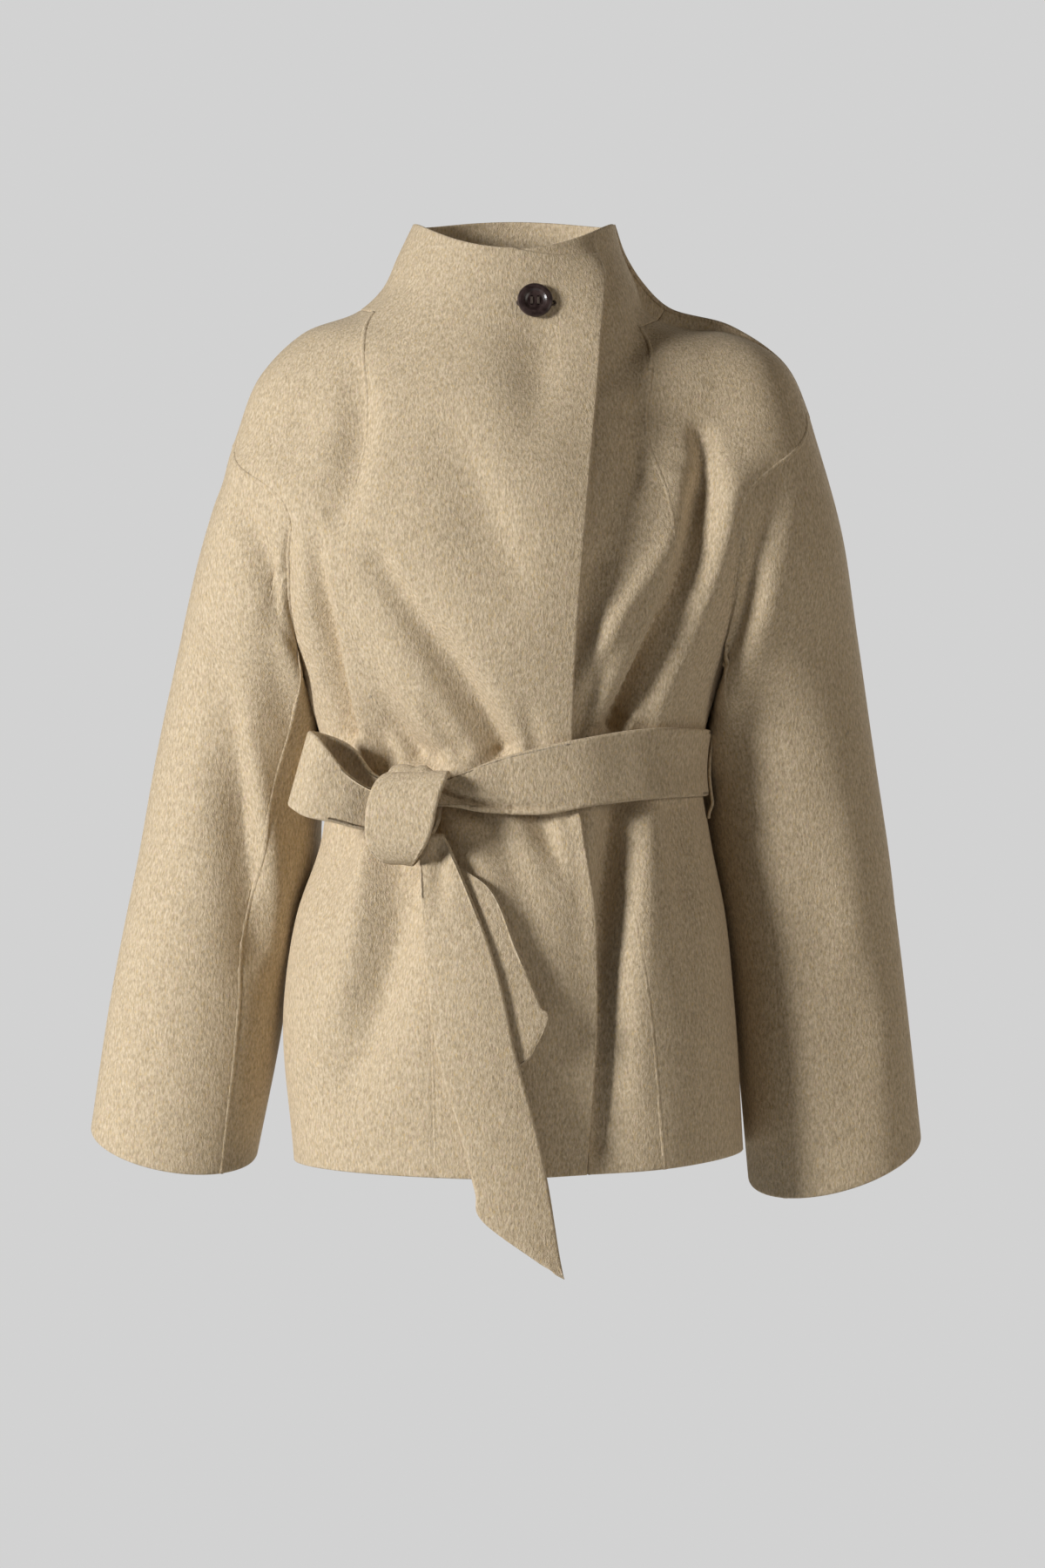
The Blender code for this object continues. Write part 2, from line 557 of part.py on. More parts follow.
def make_band():
    turns = np.linspace(BAND[0].turn, BAND[-1].turn, BAND_COLUMNS + 1)
    knots = [b.turn for b in BAND]
    middle = smooth_curve(knots, [b.middle_z for b in BAND], turns)
    half = smooth_curve(knots, [b.half for b in BAND], turns)
    share = np.linspace(-1, 1, BAND_ROWS + 1)
    z = middle[:, None] + half[:, None] * share
    run = run_at(z)
    angle = np.radians(turns)[:, None] + 0 * z
    base = skin(run, angle)
    edge = ring_value("edge", run)
    past_edge = 1 - smooth_step(edge, edge + BAND_REST, base[..., 0])
    before_lap = smooth_step(LAP_FROM_X - BAND_REST, LAP_FROM_X, base[..., 0])
    near_start = (turns <= BAND_BACK[0])[:, None]
    near_end = (turns >= BAND_BACK[1])[:, None]
    over = near_start * past_edge + near_end * before_lap
    out = BELT_GAP + BELT_THICK + LAP * over
    strip("belt_band", base + skin_normal(run, angle) * out[..., None], BELT_THICK)


def make_carrier(name, side):
    z = np.linspace(CARRIER_FOOT, CARRIER_TOP, CARRIER_ROWS + 1)
    lifted = smooth_step(CARRIER_FOOT, CARRIER_FOOT + CARRIER_RAMP, z)
    lifted = lifted * smooth_step(CARRIER_TOP, CARRIER_TOP - CARRIER_RAMP, z)
    out = CARRIER_GAP + CLOTH + (BELT_GAP + BELT_THICK) * lifted
    run = run_at(z)[:, None]
    turn = CARRIER_WIDTH / 2 / ring_value("front", run)
    angle = side * math.pi / 2 + turn * np.array([-1.0, 0.0, 1.0])
    run = run + 0 * angle
    grid = skin(run, angle) + skin_normal(run, angle) * out[:, None, None]
    strip(name, grid[::-1], CLOTH)


def make_loop():
    low = np.array([(s.low_x, s.low_y, s.low_z) for s in LOOP], float)
    high = np.array([(s.high_x, s.high_y, s.high_z) for s in LOOP], float)
    knots = along((low + high) / 2)
    at = np.linspace(0, knots[-1], LOOP_ROWS + 1)
    ends = [np.stack([smooth_curve(knots, e[:, k], at) for k in range(3)], axis=1) for e in (low, high)]
    share = np.linspace(0, 1, TAIL_COLUMNS + 1)[:, None]
    strip("belt_bow_loop", ends[0][:, None] * (1 - share) + ends[1][:, None] * share, BELT_THICK)


def make_tail(name, stops):
    left = np.array([(s.left_x, s.left_z) for s in stops], float)
    right = np.array([(s.right_x, s.right_z) for s in stops], float)
    knots = along((left + right) / 2)
    at = np.linspace(0, knots[-1], TAIL_ROWS + 1)
    ends = [np.stack([smooth_curve(knots, e[:, k], at) for k in range(2)], axis=1) for e in (left, right)]
    lift = smooth_curve(knots, [s.lift for s in stops], at)
    share = np.linspace(0, 1, TAIL_COLUMNS + 1)
    flat = ends[0][:, None] * (1 - share[:, None]) + ends[1][:, None] * share[:, None]
    x, z = flat[..., 0], flat[..., 1]
    run = run_at(np.maximum(z, RINGS[0].z_front))
    y = skin(run, angle_at(run, x))[..., 1] - LAP - BELT_THICK - lift[:, None]
    y = y - TAIL_BOW * np.sin(math.pi * share)
    strip(name, np.stack([x, y, z], axis=-1), BELT_THICK)


def surface_frame(x, z, out):
    """A place on the outer front and the turn that sets a shape's own -Y along the cloth's outward side."""
    run = run_at(z)
    angle = angle_at(run, x)
    normal = skin_normal(run, angle)
    place = Vector((skin(run, angle) + normal * out) * MM)
    outward = Vector(normal)
    across = Vector((0, 0, 1)).cross(outward).normalized()
    turn = Matrix((across, -outward, across.cross(-outward))).transposed().to_4x4()
    return Matrix.Translation(place) @ turn


def make_knot():
    bm = bmesh.new()
    bmesh.ops.create_uvsphere(bm, u_segments=KNOT_SEGMENTS, v_segments=KNOT_SEGMENTS // 2, radius=1)
    for vert in bm.verts:
        for k in range(3):
            size = abs(vert.co[k]) ** (2 / KNOT_POWER) * KNOT_HALF[k] * MM
            vert.co[k] = math.copysign(size, vert.co[k])
    mesh = bpy.data.meshes.new("belt_knot")
    bm.to_mesh(mesh)
    bm.free()
    mesh.materials.append(bpy.data.materials["wool"])
    mesh.transform(Matrix.Rotation(KNOT_LEAN, 4, "Y"))
    mesh.transform(surface_frame(KNOT_X, KNOT_Z, LAP + KNOT_GAP + KNOT_HALF[1]))
    obj = bpy.data.objects.new("belt_knot", mesh)
    bpy.data.collections[COLLECTION].objects.link(obj)


def make_button():
    """A turned disc with a raised rim, and four holes through it."""
    place = surface_frame(BUTTON_X, BUTTON_Z, LAP + BUTTON_GAP)
    profile = [(r * BUTTON_RADIUS, h * BUTTON_THICK) for r, h in BUTTON_PROFILE]
    mesh = bpy.data.meshes.new("button")
    edges = [(k, k + 1) for k in range(len(profile) - 1)]
    mesh.from_pydata([(r * MM, 0, h * MM) for r, h in profile], edges, [])
    mesh.materials.append(bpy.data.materials["button"])
    obj = bpy.data.objects.new("button", mesh)
    bpy.data.collections[COLLECTION].objects.link(obj)
    turn = obj.modifiers.new("turn", "SCREW")
    turn.axis = "Z"
    turn.steps = turn.render_steps = BUTTON_SEGMENTS
    turn.use_merge_vertices = True
    turn.merge_threshold = 1e-5
    obj.matrix_world = place @ Matrix.Rotation(math.pi / 2, 4, "X")
    for number, (sx, sz) in enumerate(((-1, -1), (-1, 1), (1, -1), (1, 1))):
        bm = bmesh.new()
        bmesh.ops.create_cone(
            bm, cap_ends=True, segments=BUTTON_HOLE_SEGMENTS, radius1=BUTTON_HOLE_RADIUS * MM,
            radius2=BUTTON_HOLE_RADIUS * MM, depth=4 * BUTTON_THICK * MM,
        )
        hole = bpy.data.meshes.new(f"button_hole_{number}")
        bm.to_mesh(hole)
        bm.free()
        hole.transform(Matrix.Translation((sx * BUTTON_HOLE_OFFSET * MM, sz * BUTTON_HOLE_OFFSET * MM, 0)))
        cutter = bpy.data.objects.new(f"button_hole_{number}", hole)
        bpy.data.collections[CUTTERS].objects.link(cutter)
        cutter.matrix_world = obj.matrix_world
        cutter.hide_render = True
        cutter.display_type = "WIRE"
        cut = obj.modifiers.new(f"hole {number}", "BOOLEAN")
        cut.operation = "DIFFERENCE"
        cut.solver = "EXACT"
        cut.object = cutter


def make_material(name, colour, roughness):
    material = bpy.data.materials.new(name)
    material.use_nodes = True
    shader = material.node_tree.nodes["Principled BSDF"]
    shader.inputs["Base Color"].default_value = colour
    shader.inputs["Roughness"].default_value = roughness
    material.diffuse_color = colour


for old in list(bpy.data.objects):
    bpy.data.objects.remove(old, do_unlink=True)
for collection_name in (COLLECTION, CUTTERS):
    bpy.context.scene.collection.children.link(bpy.data.collections.new(collection_name))
make_material("wool", WOOL_COLOUR, 0.9)
make_material("button", BUTTON_COLOUR, 0.35)

coat_points, coat_walls = coat_surface()
for piece_name, (piece_normals, piece_quads) in coat_walls.items():
    wall(piece_name, coat_points, piece_normals, piece_quads, CLOTH)
make_band()
make_carrier("belt_carrier_right", -1)
make_carrier("belt_carrier_left", 1)
make_knot()
make_loop()
make_tail("belt_tail_long", LONG_TAIL)
make_tail("belt_tail_short", SHORT_TAIL)
make_button()
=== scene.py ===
"""The looks of a short belted wool coat with a funnel neck.

Metres, +Z up. The wearer faces -Y, so +X is the wearer's left. Sizes below are in
millimetres, as the coat was drawn; they become metres where a mesh is made.
"""

import math
from collections import namedtuple

import bmesh
import bpy
import numpy as np
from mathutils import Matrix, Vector


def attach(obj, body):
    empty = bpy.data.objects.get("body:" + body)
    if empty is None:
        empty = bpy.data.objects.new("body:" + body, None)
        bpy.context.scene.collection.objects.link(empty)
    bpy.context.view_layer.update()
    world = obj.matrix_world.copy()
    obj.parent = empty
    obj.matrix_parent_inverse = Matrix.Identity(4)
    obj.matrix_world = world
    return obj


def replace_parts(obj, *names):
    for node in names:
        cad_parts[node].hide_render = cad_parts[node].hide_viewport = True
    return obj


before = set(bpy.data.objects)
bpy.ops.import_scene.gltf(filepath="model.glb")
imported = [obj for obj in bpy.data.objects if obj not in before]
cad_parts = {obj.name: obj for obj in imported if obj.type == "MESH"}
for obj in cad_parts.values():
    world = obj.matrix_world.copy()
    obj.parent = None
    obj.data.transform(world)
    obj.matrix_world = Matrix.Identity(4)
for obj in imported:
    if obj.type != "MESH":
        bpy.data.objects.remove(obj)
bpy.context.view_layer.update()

MM = 0.001


def table_of(kind, rows):
    return [kind(*row) for row in rows]


# Cloth
CLOTH = 2.4
LAP = 3.8  # how far the outer front stands off the under front's surface
RIM_DROP = 34.0  # how far the collar's lapped corner is cut below its sides
EDGE_STEPS = 4  # facets of a rounded cut edge
FLAT_SEAM, SHARP_SEAM = 0.6, 0.0  # cosines of the angle between two walls at a seam

# Columns of the body's grid, from the outer front's edge round to the under front's edge
FINE = 6
FINE_ROWS = 10
FRONT_COLUMNS = 12 * FINE
LAPPED_COLUMNS = 8 * FINE  # of the outer front, those that have the under front below them
LAP_END_COLUMN = 14 * FINE
SIDE_COLUMNS = 6 * FINE
ARM_COLUMNS = 2 * FINE  # each side of the side seam, over and under the armhole
BACK_COLUMNS = 16 * FINE
SHOWN_COLUMNS = 9 * FINE  # of the under front, outside the lap
WIDEST_SHARE = 0.995

# Sections of the body from hem to collar rim. right and left are half widths on the wearer's
# right and left, front and back are depths from the middle plane, square is the section's
# superellipse power, edge is the outer front's free edge, seam_right and seam_left are the
# princess seams, arm is the half angle of the armhole's strip, rows are those up to the next one.
Ring = namedtuple(
    "Ring",
    "name z_front z_right z_left z_back right left front back square edge seam_right seam_left arm rows",
)
RINGS = table_of(Ring, [
    ("hem", -667, -664, -656, -664, 170, 180, 126, 122, 2.05, 59, -57, 117, 14, 3),
    ("hip", -541, -541, -541, -541, 178, 173, 131, 122, 2.05, 68, -60, 106, 14, 2),
    ("high_hip", -473, -473, -473, -473, 168, 166, 126, 112, 2.05, 66, -62, 96, 14, 2),
    ("below_belt", -411, -411, -411, -411, 148, 154, 114, 100, 2.05, 54, -70, 88, 14, 2),
    ("waist", -357, -357, -357, -357, 145, 147, 107, 93, 2.05, 46, -86, 86, 14, 2),
    ("above_belt", -303, -303, -303, -303, 160, 158, 116, 98, 2.05, 46, -108, 104, 16, 2),
    ("underarm", -264, -266, -266, -262, 178, 176, 125, 103, 1.95, 48, -120, 116, 22, 3),
    ("bust", -208, -205, -200, -200, 214, 214, 127, 108, 1.95, 52, -126, 128, 36, 2),
    ("chest", -152, -150, -136, -140, 239, 247, 121, 110, 1.92, 57, -122, 122, 40, 3),
    ("shoulder", -110, -107, -84, -76, 218, 232, 110, 108, 2.05, 61, -114, 108, 10, 2),
    ("yoke", -80, -52, -39, -36, 196, 209, 102, 105, 2.10, 64, -112, 107, 11, 1),
    ("slope", -58, -20, -14, -10, 164, 171, 94, 98, 2.20, 66, -114, 110, 12, 2),
    ("neck", -28, -2, 1, 14, 119, 120, 86, 84, 2.30, 67, -106, 106, 12, 1),
    ("collar_low", -5, 17, 20, 36, 100, 101, 82, 76, 2.15, 68, -84, 92, 9, 1),
    ("collar_mid", 15, 41, 42, 57, 89, 88, 78, 70, 2.10, 67, -70, 84, 8, 1),
    ("rim", 38, 66, 66, 77, 77, 80, 74, 64, 2.05, 64, -56, 75, 8, 0),
])
SKIN_FIELDS = "z_front z_right z_left z_back right left front back square".split()

# Sections of a sleeve in front view, from the armhole to the cuff: the outer and the inner edge,
# the half depth, how far the middle lies behind the body's middle plane, how far the front hangs
# below the middle, and the angle of the seams from the outer edge.
Station = namedtuple("Station", "name outer_x outer_z inner_x inner_z half_depth middle_y dip seam")
RIGHT_SLEEVE = table_of(Station, [
    ("armhole", -218, -107, -178, -266, 78, 0, 0, 148),
    ("cap", -244, -188, -160, -298, 80, 14, 0, 138),
    ("upper_arm", -264, -266, -149, -338, 78, 41, 0, 126),
    ("elbow", -283, -355, -151, -400, 72, 47, 0, 116),
    ("forearm", -295, -425, -154, -442, 68, 42, 0, 115),
    ("low_forearm", -306, -480, -172, -498, 64, 39, 2, 118),
    ("wrist", -317, -540, -182, -565, 60, 34, 6, 122),
    ("cuff", -332, -641, -201, -662, 54, 30, 20, 128),
])
LEFT_SLEEVE = table_of(Station, [
    ("armhole", 232, -84, 176, -266, 78, 0, 0, 148),
    ("cap", 258, -172, 158, -300, 80, 16, 0, 138),
    ("upper_arm", 272, -250, 148, -340, 78, 41, 0, 126),
    ("elbow", 286, -345, 150, -402, 72, 46, 0, 116),
    ("forearm", 297, -420, 157, -446, 68, 43, 0, 115),
    ("low_forearm", 304, -478, 168, -502, 64, 39, 2, 118),
    ("wrist", 311, -543, 176, -572, 60, 34, 6, 122),
    ("cuff", 322, -648, 186, -682, 54, 30, 22, 128),
])
STATION_FIELDS = "outer_x outer_z inner_x inner_z half_depth middle_y dip".split()
SLEEVE_ROWS = 13 * FINE_ROWS
SLEEVE_FOLD_FROM = 0.07  # a sleeve's folds have their full depth from this share on
LOOP_FADE = 0.4  # share of the sleeve over which the armhole's own shape fades out

# Folds, by the parts that have them and their place in front view. depth is at the path's start,
# middle and end, outwards if positive; minus_x and plus_x are the half widths on its two sides.
Fold = namedtuple("Fold", "name where path depth minus_x plus_x")
FOLDS = table_of(Fold, [
    ("seam hollow", "right", ((-120, -55), (-117, -105), (-128, -165)), (-4, -11, -5), 18, 12),
    ("side pleat", "right", ((-147, -178), (-141, -246), (-126, -332)), (-3, -15, -20), 10, 6),
    ("bust pleat", "right", ((-92, -205), (-52, -270), (-12, -345)), (-4, -10, -14), 18, 14),
    ("breast hollow", "right", ((-40, -115), (-16, -174), (2, -222)), (-3, -7, -2), 26, 15),
    ("button hollow", "right", ((20, -30), (20, -65), (14, -110)), (-3, -5, -2), 20, 16),
    ("knot pleat", "right", ((-112, -270), (-88, -322), (-62, -352)), (-2, -8, -13), 12, 12),
    ("edge hollow", "left", ((96, -35), (100, -115), (76, -205)), (-10, -16, -10), 26, 46),
    ("deep pleat", "left", ((142, -130), (135, -218), (74, -335)), (-3, -19, -17), 11, 12),
    ("deep crease", "left", ((126, -226), (104, -280), (83, -330)), (-2, -9, -11), 6, 5),
    ("edge pleat", "left", ((64, -205), (54, -255), (46, -300)), (-5, -12, -6), 11, 14),
    ("low pleat", "left", ((72, -268), (60, -305), (50, -345)), (-2, -6, -9), 9, 9),
    ("hip hollow", "right", ((-92, -385), (-90, -480), (-116, -590)), (-12, -13, -4), 17, 22),
    ("side crease", "right", ((-122, -395), (-134, -430), (-148, -465)), (-9, -6, -2), 8, 10),
    ("tail hollow", "right", ((-30, -385), (4, -440), (20, -520)), (-10, -6, -2), 14, 18),
    ("edge fall", "right", ((56, -405), (68, -500), (62, -660)), (-5, -15, -14), 52, 24),
    ("edge groove", "left", ((84, -385), (78, -450), (66, -640)), (-20, -22, -9), 12, 17),
    ("back gather 1", "back", ((-84, -345), (-92, -290), (-108, -215)), (-9, -6, -2), 14, 14),
    ("back gather 2", "back", ((-26, -345), (-30, -280), (-38, -190)), (-10, -7, -2), 14, 14),
    ("back gather 3", "back", ((32, -345), (38, -285), (50, -205)), (-9, -6, -2), 14, 14),
    ("back gather 4", "back", ((86, -345), (96, -295), (112, -225)), (-8, -6, -2), 14, 14),
    ("back skirt 1", "back", ((-70, -365), (-80, -440), (-96, -560)), (-10, -7, -2), 15, 15),
    ("back skirt 2", "back", ((-6, -365), (-4, -450), (2, -590)), (-11, -8, -3), 16, 16),
    ("back skirt 3", "back", ((64, -365), (76, -440), (92, -550)), (-10, -7, -2), 15, 15),
    ("right arm crease", "right_arm", ((-190, -205), (-184, -250), (-174, -305)), (-1, -8, -4), 19, 21),
    ("right arm hollow", "right_arm", ((-226, -290), (-206, -400), (-200, -500)), (-5, -13, -5), 24, 11),
    ("left arm crease", "left_arm", ((200, -170), (178, -235), (154, -310)), (-1, -10, -7), 12, 16),
    ("left arm hollow", "left_arm", ((232, -400), (240, -480), (246, -570)), (-2, -5, -2), 24, 24),
    ("bust crease", "right", ((-97, -208), (-56, -266), (-5, -342)), (-4, -9, -10), 13, 8),
    ("knot dark", "right", ((-110, -322), (-103, -336), (-98, -350)), (-2, -8, -12), 8, 9),
    ("upper pleat", "left", ((152, -100), (154, -150), (143, -215)), (-9, -15, -3), 11, 8),
    ("edge slope", "left", ((146, -20), (160, -82), (150, -140)), (-9, -17, -6), 64, 32),
    ("left trough", "left left_arm", ((204, -128), (190, -175), (174, -228)), (-2, -8, -2), 12, 12),
    ("right trough", "right right_arm", ((-191, -178), (-184, -212), (-176, -246)), (-2, -8, -2), 14, 12),
    ("edge fall under", "left", ((56, -405), (68, -500), (62, -660)), (-3, -13, -12), 30, 36),
    ("cap fold", "right_arm", ((-225, -130), (-200, -173), (-187, -215)), (-2, -7, -3), 10, 9),
    ("seam fold", "right right_arm", ((-198, -140), (-176, -175), (-170, -215)), (-3, -6, -2), 10, 9),
    ("breast ridge", "right", ((-18, -68), (12, -121), (40, -180)), (5, 6, 3), 44, 34),
    ("collar edge", "right", ((66, 14), (67, -18), (65, -52)), (6, 5, 1), 22, 12),
    ("hip low", "right", ((-95, -480), (-110, -535), (-132, -605)), (-3, -10, -5), 18, 18),
    ("collar roll", "left", ((106, 0), (96, -30), (72, -58)), (-5, -5, -2), 12, 12),
    ("shoulder soft", "right", ((-150, -40), (-160, -95), (-176, -140)), (-1, -4, -1), 18, 18),
    ("bust ridge", "right", ((-90, -196), (-62, -250), (-14, -340)), (2, 4, 4), 9, 7),
    ("side ridge", "right", ((-146, -165), (-139, -230), (-120, -335)), (1, 4, 3), 7, 7),
    ("waist tuck 1", "right", ((-112, -300), (-94, -325), (-76, -348)), (0, -5, -7), 7, 7),
    ("waist tuck 2", "right", ((-66, -300), (-56, -325), (-40, -345)), (0, -4, -6), 7, 8),
    ("waist tuck 3", "right", ((8, -300), (14, -325), (18, -346)), (0, -3, -5), 8, 8),
    ("pocket ridge", "left", ((122, -186), (86, -240), (50, -300)), (2, 6, 3), 9, 9),
    ("fat ridge", "left", ((172, -135), (143, -232), (103, -318)), (3, 7, 6), 10, 12),
    ("seam tuck", "left", ((101, -104), (99, -130), (95, -152)), (0, -4, 0), 8, 8),
    ("belt tuck left", "left", ((112, -290), (104, -318), (98, -345)), (0, -6, -7), 7, 8),
    ("skirt fold", "right", ((16, -388), (28, -410), (38, -440)), (-12, -10, -1), 13, 7),
    ("edge roll", "right", ((52, -398), (62, -450), (64, -520)), (5, 4, 0), 8, 8),
    ("skirt dip", "right", ((-66, -385), (-70, -430), (-82, -490)), (-6, -5, 0), 9, 9),
    ("hip ridge", "right", ((-110, -395), (-116, -455), (-134, -540)), (5, 5, 2), 9, 9),
    ("left skirt ridge", "left", ((98, -395), (97, -480), (96, -600)), (5, 5, 2), 10, 14),
    ("left skirt dip", "left", ((126, -390), (132, -450), (138, -540)), (-6, -5, -1), 11, 11),
    ("right arm line", "right_arm", ((-206, -330), (-190, -420), (-184, -500)), (2, 5, 2), 8, 10),
    ("right arm root", "right_arm", ((-170, -270), (-163, -296), (-157, -332)), (3, 5, 3), 12, 12),
    ("left arm root", "left_arm", ((168, -270), (163, -300), (156, -345)), (4, 8, 4), 13, 13),
    ("left arm ridge", "left_arm", ((214, -150), (188, -245), (170, -310)), (1, 5, 3), 10, 14),
    ("left cuff soft", "left_arm", ((286, -470), (268, -560), (262, -640)), (-1, -4, -2), 20, 20),
    ("band rise", "band", ((-54, -380), (-36, -378), (-4, -370)), (15, 10, 1), 26, 26),
    ("band crease", "band", ((-50, -378), (0, -388), (78, -386)), (-8, -7, 0), 3, 3),
    ("band strip", "band", ((-50, -388), (0, -397), (78, -393)), (3, 2.6, 0), 6, 6),
    ("knot roll", "knot", ((-67, -362), (-68, -392), (-76, -424)), (-4, -4, -2), 4, 4),
    ("knot dip", "knot", ((-80, -358), (-84, -372), (-88, -392)), (-7, -4, 0), 12, 10),
    ("tail trough", "long_tail", ((-55, -420), (-55, -442), (-55, -475)), (-6, -5, 0), 7, 8),
])
PATH_SAMPLES = 32
SIDE_LEAN = 0.7  # over this lean from the path a fold changes from its one half width to the other
FACING = (-0.3, 0.1)  # a fold fades out between these shares of the cloth's facing forwards
UNDER_DEEPER = 1.8  # the under front gives way this much more to a fold pressed into the outer front

# The belt's band, by the angle round the body from one side of the knot to the other
BELT_THICK = 4.4
BELT_GAP = 0.8
BAND_COLUMNS = 64 * FINE
BAND_ROWS = 24
BandStop = namedtuple("BandStop", "turn middle_z half")
BAND = table_of(BandStop, [
    (-28, -386, 8),
    (-19.4, -381, 11),
    (-6, -372, 19),
    (8, -367, 25.5),
    (35, -357, 27.5),
    (90, -354, 26),
    (180, -350, 26),
    (270, -356, 26),
    (298, -372, 20),
    (313.2, -384, 12),
])
BAND_BACK = (90, 270)  # the turns between which the band lies behind the side seams
BAND_REST = 40.0  # over this length past the outer front's edge the band comes down on the under front
LAP_FROM_X = -88.0  # where the outer front starts to stand off

# The bow's single loop, as the two ends of the strip's width at each stop along it
LoopStop = namedtuple("LoopStop", "name low_x low_y low_z high_x high_y high_z")
LOOP = table_of(LoopStop, [
    ("front in knot", -90, -113, -402, -90, -111, -378),
    ("front at knot", -105.1, -113, -406, -105.1, -111, -374),
    ("front middle", -134, -116, -400, -125, -113, -361),
    ("front end", -158, -108, -394, -145, -108, -335),
    ("turn", -166, -97, -388, -150, -98, -331),
    ("back end", -158, -87, -388, -144, -89, -332),
    ("back middle", -132, -88, -394, -122, -91, -342),
    ("back at knot", -105.6, -95, -396, -105.6, -99, -362),
    ("back in knot", -90, -101, -394, -90, -103, -370),
])
LOOP_ROWS = 22 * FINE
STRIP_COLUMNS = 20
STRIP_SHARE = np.linspace(0, 1, STRIP_COLUMNS + 1)

# The two tails, by their edges in front view from the knot down, with how far each stands off
TailStop = namedtuple("TailStop", "left_x left_z right_x right_z lift")
LONG_TAIL = table_of(TailStop, [
    (-70, -408, -52, -408, 9.5),
    (-70, -424, -44, -424, 9.0),
    (-68.5, -468, -25, -468, 7.0),
    (-64, -520, -9, -515, 6.9),
    (-56, -575, 3, -570, 6.9),
    (-40, -630, 17, -622, 6.0),
    (-28, -676, 28, -672, 5.4),
    (-22, -698, 36, -722, 5.4),
    (22, -730, 40, -741, 5.4),
])
SHORT_TAIL = table_of(TailStop, [
    (-60, -408, -50, -408, 2.2),
    (-56, -424, -46, -424, 1.6),
    (-40, -455, -16, -448, 0.8),
    (-34, -500, 4, -492, 0.4),
    (-28, -540, 22, -536, 0.4),
    (-6, -578, 27, -550, 0.4),
    (6, -582, 14, -576, 0.4),
])
TAIL_ROWS = 18 * FINE
TAIL_BOW = 1.5

# The knot's outer turn of belt, by the angle round it from the front's middle upwards
KNOT_Y, KNOT_Z = -118.0, -396.0
KNOT_OUT, KNOT_UP = 17.0, 31.0
KNOT_POWER = 2.4
KNOT_MIDDLE_X, KNOT_LEAN = -80.0, 0.28  # the knot turns to the wearer's right, this much per length across it
KnotStop = namedtuple("KnotStop", "turn left_x right_x")
KNOT = table_of(KnotStop, [
    (-180, -96, -54),
    (-90, -90, -74),
    (-60, -102, -69),
    (-25, -109, -61),
    (25, -107, -53),
    (60, -100, -48),
    (90, -91, -46),
    (180, -96, -54),
])
KNOT_ROWS = 96

# Carrier, the thin strap that keeps the belt at each side seam
CARRIER_WIDTH = 11.0
CARRIER_TOP, CARRIER_FOOT = -312.0, -398.0
CARRIER_RAMP = 13.0
CARRIER_GAP = 0.5
CARRIER_ROWS = 12 * FINE
CARRIER_COLUMNS = 6

# Seams: the piece that each is sewn to, and how high its pressed allowance stands at these
# shares of its length
WELT_HALF = 2.2
WELT_SINK = 0.8  # of the ridge's middle below the cloth's surface
WELT_SIDES = 12
WELT_FULL = 0.1  # a ridge lower than this gets narrower too
WELT_SHARES = (0, 0.08, 0.36, 0.44, 0.56, 1)
Seam = namedtuple("Seam", "sewn_to heights")
SEAMS = {
    "princess_right": Seam("front_right", (0.2, 0.2, 0.12, 0.1, 0.1, 1.0)),
    "princess_left": Seam("front_left", (0.2, 0.2, 0.12, 0.1, 0.1, 0.8)),
    "side_right": Seam("back", (0.4,) * 6),
    "side_left": Seam("back", (0.4,) * 6),
    "shoulder_right": Seam("back", (0.5, 0.5, 0.5, 0.5, 0.5, 0.4)),
    "shoulder_left": Seam("back", (0.5, 0.5, 0.5, 0.5, 0.5, 0.4)),
    "armhole_right": Seam("sleeve_right_top", (0.2, 0.9, 0.9, 0.02, 0.02, 0.4)),
    "armhole_left": Seam("sleeve_left_top", (0.2, 0.7, 0.6, 0.02, 0.02, 0.4)),
    "sleeve_front_right": Seam("sleeve_right_top", (0.02, 0.2, 0.45, 0.45, 0.45, 0.4)),
    "sleeve_front_left": Seam("sleeve_left_top", (0.02, 0.1, 0.1, 0.1, 0.1, 0.1)),
    "sleeve_back_right": Seam("sleeve_right_top", (0.02, 0.3, 0.4, 0.4, 0.4, 0.4)),
    "sleeve_back_left": Seam("sleeve_left_top", (0.02, 0.3, 0.4, 0.4, 0.4, 0.4)),
}

